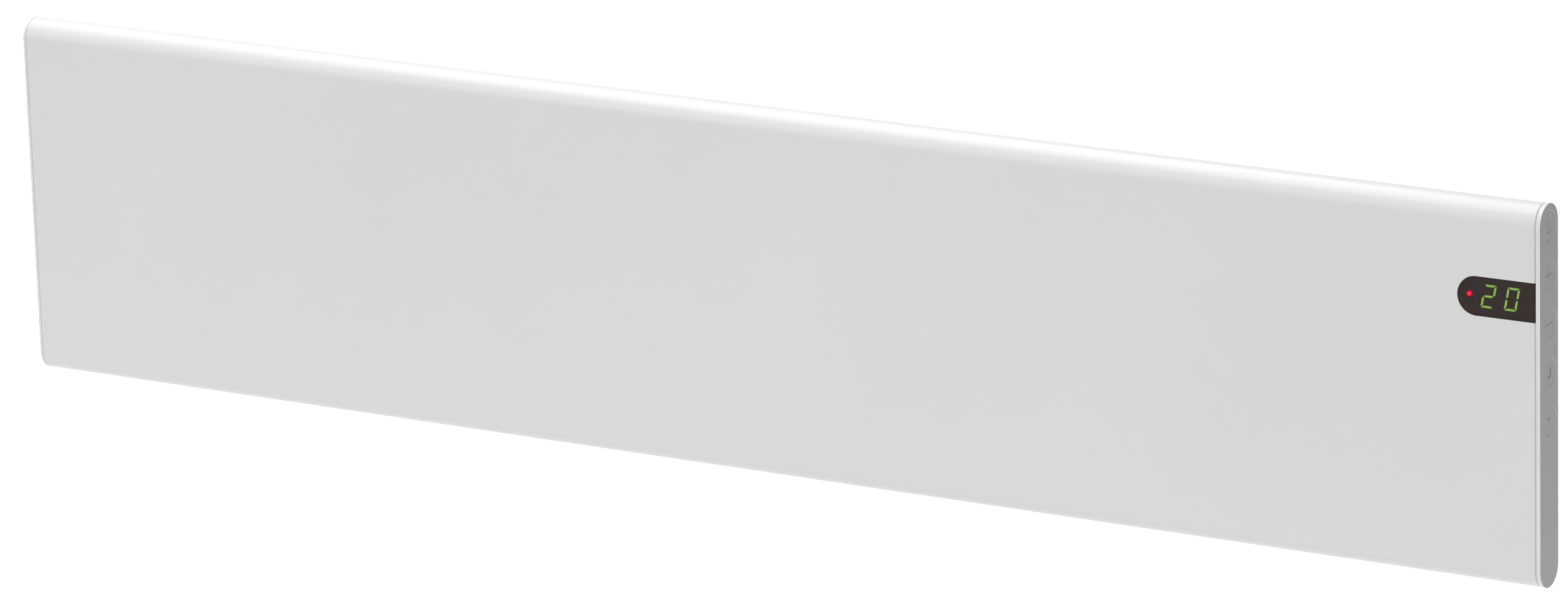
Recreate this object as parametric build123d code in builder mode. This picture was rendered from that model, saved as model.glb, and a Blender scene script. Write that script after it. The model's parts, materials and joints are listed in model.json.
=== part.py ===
from build123d import *
import math
import os

# Wall panel convector heater, in millimetres, +Z up.
# The origin is on the wall, at the centre of the four wall screws. The heater hangs in front of
# the wall, towards -Y, with its controls at the +X end.

# Front panel: one painted sheet, rolled over at the top and the bottom
panel_length = 908.3
panel_height = 200.0
panel_depth = 20.8
panel_sheet = 1.2
return_height = 9.6  # flat flange that each roll ends in, at the back

# Distances from the wall
overall_depth = 84.0
wall_gap = 26.0

# Rear casing, the deep tray behind the panel that the air rises through
casing_length = 840.0
casing_height = 152.0
casing_sheet = 1.0
casing_corner = 8.0
casing_bend = 3.0
flange_length = 876.0
flange_height = 176.0
air_slot_count = 44
air_slot_pitch = 16.8
air_slot_width = 8.0
air_slot_length = 27.0
air_slot_middle = -38.0
hook_slot_width = 5.0
bead_length = 440.0
bead_width = 10.0
bead_height = 1.2
bead_z = 28.0

# End caps
cap_gap = 0.4  # shadow groove between panel and cap
right_rim = 2.34  # groove's panel side to the cap's outer face
left_rim = 2.1
spigot_gap = 0.2
spigot_wall = 1.5
spigot_length = 12.55
cap_screw_x = 448.0
cap_screw_z = 82.0

cap_screw_boss = 3.2
cap_edge = 0.5

# Controls on the right end
fascia_cover = 0.6  # the grey face's cover over the whole end of the cap
fascia_tongue = 1.2  # and the tongue behind it, which sits in the cap
fascia_lip = 1.2
fascia_edge = 0.45
button_radius = 7.5
button_gap = 0.3
button_top_z = 88.5
button_pitch = 25.3
button_travel = 0.8
button_thickness = 2.1
button_edge = 0.3
stem_radius = 4.0
stem_slit = 1.2
collar_radius = 4.9
collar_height = 0.8
switch_size = 6.0
switch_height = 3.5
plunger_radius = 1.75
plunger_height = 0.5
board_sheet = 1.6
board_post_radius = 2.6
control_board_width = 13.0
plug_width = 8.0
plug_height = 6.0
plug_depth = 2.5

# Display window in the front panel
window_radius = 10.2
window_inset = 32.4  # centre of the round end, from the panel's right end
window_z = 50.8
window_lens = 0.9
digit_pitch = 12.8
digit_inset = 19.8  # middle of the two digits, from the panel's right end
digit_width = 7.1
digit_height = 12.5
digit_stroke = 1.4
digit_slant = 11.0
segment_gap = 0.2
segment_sheet = 0.2
module_width = 25.2
module_height = 18.4
led_radius = 1.8
led_inset = 37.4
led_pins = 2.54
led_pin = 0.5
window_rim = 1.0
rim_overlap = 1.8
window_wall = 0.7
window_play = 0.1
window_notch = 26.0  # height of the end cap's notch round the window's rim
holder_start = 403.8
holder_height = 22.6
holder_wall = 1.3

# Heating element
element_y = -50.0
fin_start_x = -355.0
fin_length = 655.0
fin_blade = 28.0
fin_root = 11.0
fin_sheet = 1.6
fin_angle = 35.0  # each blade's lean from upright
fin_tab = 20.0
fin_pitch = 25.4
hub_radius = 7.0
rod_radius = 4.0

rod_start = -377.0
rod_end = 322.0
pin_length = 8.0
holder_sheet = 1.2
bush_radius = 8.0
bush_neck = 6.0
bush_face = 4.0  # how far a bush stands out from each side of its holder
holder_foot = 12.0
holder_foot_height = 44.0
holder_head = 12.0

# Heat shield and partition
shield_sheet = 0.8
shield_face = -76.0
shield_web = 76.0
shield_flange = 10.0
shield_start = -412.0
shield_length = 750.0
partition_x = 345.0
partition_tab = 7.0
partition_tab_height = 100.0
cutout_x = 250.0
cutout_z = 42.0
cutout_flange = 9.0
cutout_body = 7.2
cutout_height = 5.0
blade_width = 6.3
blade_sheet = 0.8
blade_reach = 8.5

# Electrical compartment
power_board_x = 383.0
power_board_z = 22.0
power_board_y = -34.0
power_board_width = 62.0
power_board_height = 100.0
power_post_x = 54.0
power_post_z = 92.0
power_post_radius = 3.0
relay_x = 366.0
relay_z = 48.0
relay_width = 15.5
relay_height = 19.0
capacitor_x = 396.0
capacitor_radius = 5.0
component_depth = 16.0  # how far the tall components stand off their board
transformer_x = 393.0
transformer_z = 8.0
transformer_width = 22.0
transformer_height = 18.0
terminal_x = 392.0
terminal_z = -53.0
terminal_width = 36.0
terminal_height = 18.0
terminal_depth = 15.0
terminal_pitch = 12.0
earth_x = 364.0
earth_z = -38.0
sensor_x = 362.0
sensor_radius = 2.5
sensor_length = 16.0
sensor_out = 6.0  # how far it stands out below the casing
gland_x = 392.0
gland_y = -46.0
gland_bore = 3.9
gland_thread = 8.0
gland_hex = 11.0
gland_hex_height = 5.0
gland_cap_height = 6.0
gland_dome = 5.0
gland_dome_taper = 25
gland_low = -86.0
grommet_radius = 4.0

# Leads and screws
lead_radius = 1.5
low_lead_y = -37.0
left_lead_x = -405.0
control_lead_x = 397.0
control_lead_z = -20.0
control_lead_radius = 1.8
screw_hole = 1.8
screw_radius = 1.7
cap_screw_radius = 1.6
screw_head_radius = 3.2
screw_head_height = 1.8
screw_head_chamfer = 0.6
casing_screw_length = 5.5
cap_screw_length = 6.0
board_screw_radius = 1.2
board_screw_head = 2.4
power_screw_radius = 1.5
board_top_z = 93.0
board_bottom_z = -26.0

# Wall bracket
rivet_radius = 2.0
rivet_head = 3.6
rivet_head_height = 1.2
rivet_z = 7.0
arm_x = 250.0
arm_width = 34.0
arm_height = 140.0
arm_sheet = 2.0
wall_hole_z = 50.0
wall_hole_radius = 3.0
hook_seats = (52.0, -40.0)  # heights at which the casing rests on its hooks
hook_neck = 8.0
hook_rise = 8.0
hook_tongue = 3.0
lift = 10.0
rail_length = 520.0
rail_height = 30.0
rail_depth = 10.0
rail_sheet = 1.5

# Places that follow from the sizes above
front = -overall_depth
panel_mid = front + panel_depth / 2
panel_back = front + panel_depth
panel_end = panel_length / 2
panel_inner_back = panel_back - panel_sheet
return_edge = panel_height / 2 - panel_depth / 2 - return_height
casing_back = -wall_gap
casing_front = panel_inner_back
flange_front = casing_front - casing_sheet
casing_inner_back = casing_back - casing_sheet
spigot_depth = panel_depth - 2 * (panel_sheet + spigot_gap)
spigot_height = panel_height - 2 * (panel_sheet + spigot_gap)
cap_inner = panel_end + cap_gap
cap_face = panel_end + right_rim
spigot_end = cap_inner - spigot_length
fascia_back = cap_face - fascia_tongue
button_back = cap_face - button_thickness  # so each button lies a cover's depth below the grey face
pocket_floor = button_back - button_travel - 0.1
web_inner = pocket_floor - 2.0
stem_end = web_inner - 2.0
board_x = spigot_end + 1.0
button_heights = [button_top_z - n * button_pitch for n in range(5)]
window_x = panel_end - window_inset
digit_face = front + 1.9
digit_mid_x = panel_end - digit_inset
display_board_y = digit_face + 7.0
component_face = power_board_y - board_sheet
led_x = panel_end - led_inset
hook_x = arm_x + arm_width / 2 - arm_sheet / 2
slot_height = hook_neck + lift + 0.3
hook_back = casing_back + 0.5
arm_waist = -12.0
rivet_x = arm_x - 8
spigot_inner_back = panel_mid + spigot_depth / 2 - spigot_wall
window_rim_end = spigot_end + 9.8
led_centre_y = front + 2.7
led_flange_y = front + 6.5
cutout_back = shield_face + shield_sheet
gland_cap_top = -casing_height / 2 - gland_hex_height
button_places = [(panel_mid, z) for z in button_heights]
board_posts = [(panel_mid, sum(button_heights[n : n + 2]) / 2) for n in (0, 3)]
holder_places = (rod_start + 15, rod_end - 15 - holder_sheet)
grommet_places = [(element_y, 0), (low_lead_y, terminal_z)]
button_names = [
    "power_button",
    "warmer_button",
    "cooler_button",
    "night_button",
    "boost_button",
]
casing_screws = [(x, z) for x in (-400, -200, 0, 200, 400) for z in (-84.0, 84.0)]
cap_screws = [(x, z) for x in (-cap_screw_x, cap_screw_x) for z in (-cap_screw_z, cap_screw_z)]

os.makedirs("parts", exist_ok=True)


def upright_slot(height, depth, mode=Mode.ADD):
    """Draws the panel's stadium section, centred on the panel's middle plane."""
    with Locations((panel_mid, 0)):
        SlotOverall(height, depth, rotation=90, mode=mode)


def window_outline(margin, right_end, mode=Mode.ADD):
    """Draws the display window's outline: a round left end, then straight to right_end."""
    with Locations((window_x, window_z)):
        Circle(window_radius + margin, mode=mode)
        Rectangle(
            right_end - window_x,
            2 * (window_radius + margin),
            align=(Align.MIN, Align.CENTER),
            mode=mode,
        )


def finish(part, name):
    """Labels a finished piece and writes it to its own file."""
    part.label = name
    export_step(part, f"parts/{name}.step")


# ---- Casing ----

# The front panel's section is a stadium left open at the back, between its two returns.
with BuildPart() as front_panel:
    with BuildSketch(Plane.YZ.offset(-panel_end)):
        upright_slot(panel_height, panel_depth)
        upright_slot(
            panel_height - 2 * panel_sheet, panel_depth - 2 * panel_sheet, Mode.SUBTRACT
        )
        with Locations((panel_back, 0)):
            Rectangle(4 * panel_sheet, 2 * return_edge, mode=Mode.SUBTRACT)
    extrude(amount=panel_length)
    with BuildSketch(Plane.XZ.offset(-front)):
        window_outline(0, panel_end + 1)
    extrude(amount=-2 * panel_sheet, mode=Mode.SUBTRACT)
    with BuildSketch(Plane.XZ.offset(-panel_back)):
        with Locations(*casing_screws, *cap_screws):
            Circle(screw_hole)
    extrude(amount=2 * panel_sheet, mode=Mode.SUBTRACT)
finish(front_panel.part, "front_panel")

# The rear casing is a pressed tray with a flange that lies inside the panel's returns.
with BuildPart() as rear_casing:
    with BuildSketch(Plane.XZ.offset(-casing_front)):
        Rectangle(casing_length, casing_height)
    extrude(amount=casing_front - casing_back)
    fillet(rear_casing.edges().filter_by(Axis.Y), radius=casing_corner)
    fillet(rear_casing.faces().sort_by(Axis.Y)[-1].edges(), radius=casing_bend)
    offset(amount=-casing_sheet, openings=rear_casing.faces().sort_by(Axis.Y)[0])
    with BuildSketch(Plane.XZ.offset(-casing_front)):
        RectangleRounded(flange_length, flange_height, 3)
        RectangleRounded(
            casing_length - 2 * casing_sheet,
            casing_height - 2 * casing_sheet,
            casing_corner - casing_sheet,
            mode=Mode.SUBTRACT,
        )
        with Locations(*casing_screws):
            Circle(screw_hole, mode=Mode.SUBTRACT)
    extrude(amount=casing_sheet)
    # long beads stiffen the back
    with BuildSketch(Plane.XZ.offset(-casing_back)):
        with Locations((0, bead_z), (0, -bead_z)):
            SlotOverall(bead_length, bead_width)
    extrude(amount=-bead_height)
    with BuildSketch(Plane.XZ.offset(-casing_inner_back)):
        with Locations((0, bead_z), (0, -bead_z)):
            SlotOverall(bead_length - 2, bead_width - 2)
    extrude(amount=-bead_height, mode=Mode.SUBTRACT)
    # air comes in through the bottom wall and leaves through the top wall
    with BuildSketch(Plane.XY.offset(-casing_height / 2 - 1)):
        with Locations((air_slot_middle, (casing_front + casing_back) / 2)):
            with GridLocations(air_slot_pitch, 0, air_slot_count, 1):
                Rectangle(air_slot_width, air_slot_length)
    extrude(amount=casing_height + 2, mode=Mode.SUBTRACT)
    # the bracket's hooks pass through these
    with BuildSketch(Plane.XZ.offset(-casing_back - 1)):
        for seat in hook_seats:
            with Locations((-hook_x, seat - slot_height / 2), (hook_x, seat - slot_height / 2)):
                Rectangle(hook_slot_width, slot_height)
    extrude(amount=3, mode=Mode.SUBTRACT)
    # the cable gland and the air sensor come through the bottom wall
    with BuildSketch(Plane.XY.offset(-casing_height / 2 - 1)):
        with Locations((gland_x, gland_y)):
            Circle(gland_thread + 0.1)
        with Locations((sensor_x, gland_y)):
            Circle(sensor_radius + 0.1)
    extrude(amount=3, mode=Mode.SUBTRACT)
finish(rear_casing.part, "rear_casing")

# The heat shield is a hat section, hung on the casing's flange, that keeps the panel cool.
with BuildPart() as heat_shield:
    with BuildSketch(Plane.YZ.offset(shield_start)):
        with Locations((shield_face + shield_sheet / 2, 0)):
            Rectangle(shield_sheet, 2 * shield_web)
        for side in (-1, 1):
            with Locations(((shield_face + flange_front) / 2, side * (shield_web - shield_sheet / 2))):
                Rectangle(flange_front - shield_face, shield_sheet)
            with Locations((flange_front - shield_sheet / 2, side * (shield_web + shield_flange / 2))):
                Rectangle(shield_sheet, shield_flange)
    extrude(amount=shield_length)
    with BuildSketch(Plane.XZ.offset(-flange_front)):
        with Locations(*[(x, z) for x, z in casing_screws if x < shield_start + shield_length]):
            Circle(screw_hole)
    extrude(amount=2 * shield_sheet, mode=Mode.SUBTRACT)
finish(heat_shield.part, "heat_shield")

# The partition keeps the warm air out of the electrical compartment.
with BuildPart() as partition_wall:
    with BuildSketch(Plane.YZ.offset(partition_x)):
        with Locations(((flange_front + casing_inner_back) / 2, 0)):
            plate = Rectangle(casing_inner_back - flange_front, casing_height - 2 * casing_sheet)
            chamfer(plate.vertices().group_by(Axis.X)[-1], casing_bend + 1)
        with Locations(*grommet_places):
            Circle(grommet_radius, mode=Mode.SUBTRACT)
    extrude(amount=casing_sheet)
    with BuildSketch(Plane.XZ.offset(-casing_inner_back)):
        with Locations((partition_x, 0)):
            Rectangle(partition_tab, partition_tab_height, align=(Align.MIN, Align.CENTER))
    extrude(amount=casing_sheet)
finish(partition_wall.part, "partition_wall")

with BuildPart() as lead_grommets:
    with BuildSketch(Plane.YZ.offset(partition_x - 2)):
        with Locations(*grommet_places):
            Circle(grommet_radius + 1.5)
    extrude(amount=casing_sheet + 4)
    with BuildSketch(Plane.YZ.offset(partition_x)):
        with Locations(*grommet_places):
            Circle(grommet_radius + 2)
            Circle(grommet_radius, mode=Mode.SUBTRACT)
    extrude(amount=casing_sheet, mode=Mode.SUBTRACT)
    with BuildSketch(Plane.YZ.offset(partition_x - 3)):
        with Locations(*grommet_places):
            Circle(lead_radius)
    extrude(amount=casing_sheet + 6, mode=Mode.SUBTRACT)
finish(lead_grommets.part, "lead_grommets")

# The left end cap: a rim that follows the panel's section, and a hollow spigot inside it.
with BuildPart() as left_end_cap:
    with BuildSketch(Plane.YZ.offset(-panel_end - left_rim)):
        upright_slot(panel_height, panel_depth)
    extrude(amount=left_rim - cap_gap)
    fillet(left_end_cap.faces().sort_by(Axis.X)[0].edges(), radius=cap_edge)
    with BuildSketch(Plane.YZ.offset(-cap_inner)):
        upright_slot(spigot_height, spigot_depth)
        upright_slot(spigot_height - 2 * spigot_wall, spigot_depth - 2 * spigot_wall, Mode.SUBTRACT)
    extrude(amount=spigot_length)
    with BuildSketch(Plane.XZ.offset(-spigot_inner_back)):
        with Locations(*[(x, z) for x, z in cap_screws if x < 0]):
            Circle(cap_screw_boss)
    extrude(amount=3.5)
    with BuildSketch(Plane.XZ.offset(-panel_inner_back)):
        with Locations(*[(x, z) for x, z in cap_screws if x < 0]):
            Circle(cap_screw_radius)
    extrude(amount=6, mode=Mode.SUBTRACT)
finish(left_end_cap.part, "left_end_cap")

# The right end cap also carries the fascia, guides the buttons and holds the control board.
with BuildPart() as right_end_cap:
    with BuildSketch(Plane.YZ.offset(cap_inner)):
        upright_slot(panel_height, panel_depth)
    extrude(amount=cap_face - cap_inner)
    with BuildSketch(Plane.YZ.offset(spigot_end)):
        upright_slot(spigot_height, spigot_depth)
    extrude(amount=spigot_length)
    with BuildSketch(Plane.YZ.offset(fascia_back)):
        upright_slot(panel_height - 2 * fascia_lip, panel_depth - 2 * fascia_lip)
    extrude(amount=2 * fascia_tongue, mode=Mode.SUBTRACT)
    with BuildSketch(Plane.YZ.offset(spigot_end)):
        upright_slot(spigot_height - 2 * spigot_wall, spigot_depth - 2 * spigot_wall)
    extrude(amount=web_inner - spigot_end, mode=Mode.SUBTRACT)
    with BuildSketch(Plane.YZ.offset(pocket_floor)):
        with Locations(*button_places):
            Circle(button_radius + button_gap)
    extrude(amount=fascia_back - pocket_floor, mode=Mode.SUBTRACT)
    with BuildSketch(Plane.YZ.offset(web_inner)):
        with Locations(*button_places):
            Circle(stem_radius + button_gap)
    extrude(amount=pocket_floor - web_inner, mode=Mode.SUBTRACT)
    with BuildSketch(Plane.YZ.offset(board_x + board_sheet)):
        with Locations(*board_posts):
            Circle(board_post_radius)
            Circle(board_screw_radius, mode=Mode.SUBTRACT)
    extrude(amount=web_inner - board_x - board_sheet)
    with BuildSketch(Plane.XZ.offset(-spigot_inner_back)):
        with Locations(*[(x, z) for x, z in cap_screws if x > 0]):
            Circle(cap_screw_boss)
    extrude(amount=3.5)
    with BuildSketch(Plane.XZ.offset(-panel_inner_back)):
        with Locations(*[(x, z) for x, z in cap_screws if x > 0]):
            Circle(cap_screw_radius)
    extrude(amount=6, mode=Mode.SUBTRACT)
    # the spigot is notched where the display window's rim passes
    with BuildSketch(Plane.XZ.offset(-front)):
        with Locations((spigot_end - 1, window_z)):
            Rectangle(
                window_rim_end + 1.2 - spigot_end, window_notch, align=(Align.MIN, Align.CENTER)
            )
    extrude(amount=-3.0, mode=Mode.SUBTRACT)
finish(right_end_cap.part, "right_end_cap")

# ---- Controls ----

# The fascia covers the cap's whole end. Its buttons lie in the bottom of its round holes.
with BuildPart() as control_fascia:
    with BuildSketch(Plane.YZ.offset(cap_face)):
        upright_slot(panel_height, panel_depth)
    extrude(amount=fascia_cover)
    fillet(control_fascia.faces().sort_by(Axis.X)[-1].edges(), radius=fascia_edge)
    with BuildSketch(Plane.YZ.offset(fascia_back)):
        upright_slot(panel_height - 2 * fascia_lip - 0.1, panel_depth - 2 * fascia_lip - 0.1)
    extrude(amount=fascia_tongue)
    with BuildSketch(Plane.YZ.offset(fascia_back)):
        with Locations(*button_places):
            Circle(button_radius + button_gap)
    extrude(amount=fascia_tongue + fascia_cover, mode=Mode.SUBTRACT)
finish(control_fascia.part, "control_fascia")

# Each button is a round cap on a split stem, whose collar snaps behind the end cap's web.
for name, height in zip(button_names, button_heights):
    with BuildPart() as button:
        with BuildSketch(Plane.YZ.offset(button_back)):
            with Locations((panel_mid, height)):
                Circle(button_radius)
        extrude(amount=button_thickness)
        fillet(button.faces().sort_by(Axis.X)[-1].edges(), radius=button_edge)
        with BuildSketch(Plane.YZ.offset(stem_end)):
            with Locations((panel_mid, height)):
                Circle(stem_radius)
        extrude(amount=button_back - stem_end)
        with BuildSketch(Plane.YZ.offset(web_inner - 0.1 - collar_height)):
            with Locations((panel_mid, height)):
                Circle(collar_radius)
        extrude(amount=collar_height)
        with BuildSketch(Plane.YZ.offset(stem_end)):
            with Locations((panel_mid, height)):
                Rectangle(stem_slit, 2 * collar_radius + 1)
        extrude(amount=pocket_floor - stem_end, mode=Mode.SUBTRACT)
    finish(button.part, name)

with BuildPart() as control_board:
    with BuildSketch(Plane.YZ.offset(board_x)):
        with Locations((panel_mid, (board_top_z + board_bottom_z) / 2)):
            Rectangle(control_board_width, board_top_z - board_bottom_z)
        with Locations(*board_posts):
            Circle(board_screw_radius + 0.2, mode=Mode.SUBTRACT)
        # room for the display between two of the switches
        with Locations((panel_mid - control_board_width / 2, window_z)):
            Rectangle(5.5, module_height + 0.4, align=(Align.MIN, Align.CENTER), mode=Mode.SUBTRACT)
    extrude(amount=board_sheet)
    with BuildSketch(Plane.YZ.offset(board_x)):
        with Locations((panel_mid, control_lead_z)):
            Rectangle(plug_width, plug_height)
    extrude(amount=-plug_depth)
finish(control_board.part, "control_board")

with BuildPart() as button_switches:
    with BuildSketch(Plane.YZ.offset(board_x + board_sheet)):
        with Locations(*button_places):
            Rectangle(switch_size, switch_size)
    extrude(amount=switch_height)
    with BuildSketch(Plane.YZ.offset(board_x + board_sheet + switch_height)):
        with Locations(*button_places):
            Circle(plunger_radius)
    extrude(amount=plunger_height)
finish(button_switches.part, "button_switches")

with BuildPart() as board_screws:
    with BuildSketch(Plane.YZ.offset(board_x)):
        with Locations(*board_posts):
            Circle(board_screw_head)
    extrude(amount=-1.5)
    with BuildSketch(Plane.YZ.offset(board_x)):
        with Locations(*board_posts):
            Circle(board_screw_radius)
    extrude(amount=6)
finish(board_screws.part, "board_screws")

# The window is flush with the panel. A rim behind the sheet keeps it from falling out.
with BuildPart() as display_window:
    with BuildSketch(Plane.XZ.offset(-front)):
        window_outline(-window_play, panel_end)
    extrude(amount=-window_lens)
    with BuildSketch(Plane.XZ.offset(-front - window_lens)):
        window_outline(-window_play, window_rim_end)
        window_outline(-window_wall, window_rim_end + 1, Mode.SUBTRACT)
    extrude(amount=window_lens - panel_sheet)
    with BuildSketch(Plane.XZ.offset(-front - panel_sheet)):
        window_outline(rim_overlap, window_rim_end)
        window_outline(-window_wall, window_rim_end + 1, Mode.SUBTRACT)
    extrude(amount=-window_rim)
    # a low step fills the groove beside the end cap
    with BuildSketch(Plane.XZ.offset(-front - cap_gap)):
        with Locations((panel_end, window_z)):
            Rectangle(
                cap_gap - 0.05, 2 * (window_radius - window_play), align=(Align.MIN, Align.CENTER)
            )
    extrude(amount=cap_gap - window_lens)
finish(display_window.part, "display_window")

with BuildPart() as display_module:
    with BuildSketch(Plane.XZ.offset(-digit_face)):
        with Locations((digit_mid_x, window_z)):
            Rectangle(module_width, module_height)
    extrude(amount=digit_face - display_board_y)
finish(display_module.part, "display_module")


def segment_corners(segment):
    """Gives one segment's corners on an upright digit, counted from the digit's middle."""
    side = digit_width / 2
    end = digit_height / 2
    stroke = digit_stroke
    gap = segment_gap
    top = [
        (-side + gap, end),
        (side - gap, end),
        (side - stroke - gap, end - stroke),
        (-side + stroke + gap, end - stroke),
    ]
    middle = [
        (-side + stroke / 2 + gap, 0),
        (-side + stroke + gap, stroke / 2),
        (side - stroke - gap, stroke / 2),
        (side - stroke / 2 - gap, 0),
        (side - stroke - gap, -stroke / 2),
        (-side + stroke + gap, -stroke / 2),
    ]
    upper_right = [
        (side, end - gap),
        (side, stroke / 2),
        (side - stroke / 2, gap),
        (side - stroke, stroke / 2 + gap),
        (side - stroke, end - stroke - gap),
    ]
    shapes = {
        "top": top,
        "middle": middle,
        "bottom": [(x, -z) for x, z in top],
        "upper_right": upper_right,
        "lower_right": [(x, -z) for x, z in upper_right],
        "upper_left": [(-x, z) for x, z in upper_right],
        "lower_left": [(-x, -z) for x, z in upper_right],
    }
    return shapes[segment]


def draw_segments(digit_x, segments):
    """Draws segments of the digit centred at digit_x, leaning as the display's digits do."""
    lean = math.tan(math.radians(digit_slant))
    for segment in segments:
        corners = [(digit_x + x + z * lean, window_z + z) for x, z in segment_corners(segment)]
        Polygon(*corners, align=None)


with BuildPart() as lit_segments:
    with BuildSketch(Plane.XZ.offset(-digit_face)):
        draw_segments(
            digit_mid_x - digit_pitch / 2,
            ["top", "upper_right", "middle", "lower_left", "bottom"],
        )
        draw_segments(
            digit_mid_x + digit_pitch / 2,
            ["top", "upper_right", "lower_right", "bottom", "lower_left", "upper_left"],
        )
    extrude(amount=segment_sheet)
finish(lit_segments.part, "lit_segments")

with BuildPart() as dark_segments:
    with BuildSketch(Plane.XZ.offset(-digit_face)):
        draw_segments(digit_mid_x - digit_pitch / 2, ["upper_left", "lower_right"])
        draw_segments(digit_mid_x + digit_pitch / 2, ["middle"])
    extrude(amount=segment_sheet)
finish(dark_segments.part, "dark_segments")

with BuildPart() as status_led:
    with Locations((led_x, led_centre_y, window_z)):
        Sphere(led_radius)
    with BuildSketch(Plane.XZ.offset(-led_centre_y)):
        with Locations((led_x, window_z)):
            Circle(led_radius)
    extrude(amount=led_centre_y - led_flange_y)
    with BuildSketch(Plane.XZ.offset(-led_flange_y)):
        with Locations((led_x, window_z)):
            Circle(led_radius + 0.4)
    extrude(amount=-1.0)
    with BuildSketch(Plane.XZ.offset(-led_flange_y)):
        with Locations((led_x, window_z)):
            with GridLocations(led_pins, 0, 2, 1):
                Rectangle(led_pin, led_pin)
    extrude(amount=led_flange_y - display_board_y)
finish(status_led.part, "status_led")

with BuildPart() as display_holder:
    with BuildSketch(Plane.XZ.offset(-front - panel_sheet - window_rim)):
        with Locations((holder_start, window_z)):
            Rectangle(
                spigot_end - 0.3 - holder_start, holder_height, align=(Align.MIN, Align.CENTER)
            )
        # open at the right, where the digits' module reaches into the end cap
        with Locations((holder_start + holder_wall, window_z)):
            Rectangle(
                spigot_end - holder_start,
                holder_height - 2 * holder_wall,
                align=(Align.MIN, Align.CENTER),
                mode=Mode.SUBTRACT,
            )
    extrude(amount=front + panel_sheet + window_rim - display_board_y)
finish(display_holder.part, "display_holder")

with BuildPart() as display_board:
    with BuildSketch(Plane.XZ.offset(-display_board_y)):
        with Locations((holder_start + 0.4, window_z)):
            Rectangle(
                board_x - holder_start - 0.9, holder_height - 1, align=(Align.MIN, Align.CENTER)
            )
    extrude(amount=-board_sheet)
finish(display_board.part, "display_board")

# ---- Heating element ----

# A hub runs the whole length. Four slit blades lean out from it, in the shape of an X.
with BuildPart() as element_fins:
    with BuildSketch(Plane.YZ.offset(fin_start_x)):
        with Locations((element_y, 0)):
            Circle(hub_radius)
            for turn in (fin_angle, 180 - fin_angle):
                Rectangle(fin_sheet, 2 * fin_root, rotation=turn)
    extrude(amount=fin_length)
    tab_starts = [fin_start_x + n * fin_pitch for n in range(int(fin_length / fin_pitch) + 1)]
    with BuildSketch(*[Plane.YZ.offset(x) for x in tab_starts if x + fin_tab <= fin_start_x + fin_length]):
        with Locations((element_y, 0)):
            for turn in (fin_angle, 180 - fin_angle):
                Rectangle(fin_sheet, 2 * fin_blade, rotation=turn)
    extrude(amount=fin_tab)
    with BuildSketch(Plane.YZ.offset(fin_start_x)):
        with Locations((element_y, 0)):
            Circle(rod_radius)
    extrude(amount=fin_length, mode=Mode.SUBTRACT)
finish(element_fins.part, "element_fins")

with BuildPart() as heating_rod:
    with BuildSketch(Plane.YZ.offset(rod_start)):
        with Locations((element_y, 0)):
            Circle(rod_radius)
    extrude(amount=rod_end - rod_start)
    with BuildSketch(Plane.YZ.offset(rod_start - pin_length)):
        with Locations((element_y, 0)):
            Circle(lead_radius)
    extrude(amount=rod_end - rod_start + 2 * pin_length)
finish(heating_rod.part, "heating_rod")

# A ceramic bush holds each end of the rod in its holder's round hole.
with BuildPart() as element_bushes:
    for x in holder_places:
        with BuildSketch(Plane.YZ.offset(x - bush_face)):
            with Locations((element_y, 0)):
                Circle(bush_radius)
        extrude(amount=2 * bush_face + holder_sheet)
        with BuildSketch(Plane.YZ.offset(x)):
            with Locations((element_y, 0)):
                Circle(bush_radius + 1)
                Circle(bush_neck, mode=Mode.SUBTRACT)
        extrude(amount=holder_sheet, mode=Mode.SUBTRACT)
        with BuildSketch(Plane.YZ.offset(x - bush_face)):
            with Locations((element_y, 0)):
                Circle(rod_radius)
        extrude(amount=2 * bush_face + holder_sheet, mode=Mode.SUBTRACT)
finish(element_bushes.part, "element_bushes")

with BuildPart() as element_holders:
    for x in holder_places:
        with BuildSketch(Plane.YZ.offset(x)):
            with BuildLine():
                Polyline(
                    (casing_inner_back, -holder_foot_height / 2),
                    (casing_inner_back, holder_foot_height / 2),
                    (element_y - 4, holder_head),
                    (element_y - holder_head, holder_head),
                    (element_y - holder_head, -holder_head),
                    (element_y - 4, -holder_head),
                    close=True,
                )
            make_face()
            with Locations((element_y, 0)):
                Circle(bush_neck, mode=Mode.SUBTRACT)
        extrude(amount=holder_sheet)
        with BuildSketch(Plane.XZ.offset(-casing_inner_back)):
            with Locations((x, 0)):
                Rectangle(holder_foot, holder_foot_height, align=(Align.MIN, Align.CENTER))
        extrude(amount=holder_sheet)
finish(element_holders.part, "element_holders")

with BuildPart() as thermal_cutout:
    with BuildSketch(Plane.XZ.offset(-cutout_back)):
        with Locations((cutout_x, cutout_z)):
            Circle(cutout_flange)
    extrude(amount=-blade_sheet)
    with BuildSketch(Plane.XZ.offset(-cutout_back)):
        with Locations((cutout_x, cutout_z)):
            Circle(cutout_body)
    extrude(amount=-cutout_height)
    # two blades for push-on connectors
    with BuildSketch(Plane.XZ.offset(-cutout_back)):
        with Locations((cutout_x, cutout_z)):
            with GridLocations(8, 0, 2, 1):
                Rectangle(blade_sheet, blade_width)
    extrude(amount=-blade_reach)
finish(thermal_cutout.part, "thermal_cutout")

# ---- Electrical compartment ----

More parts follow.
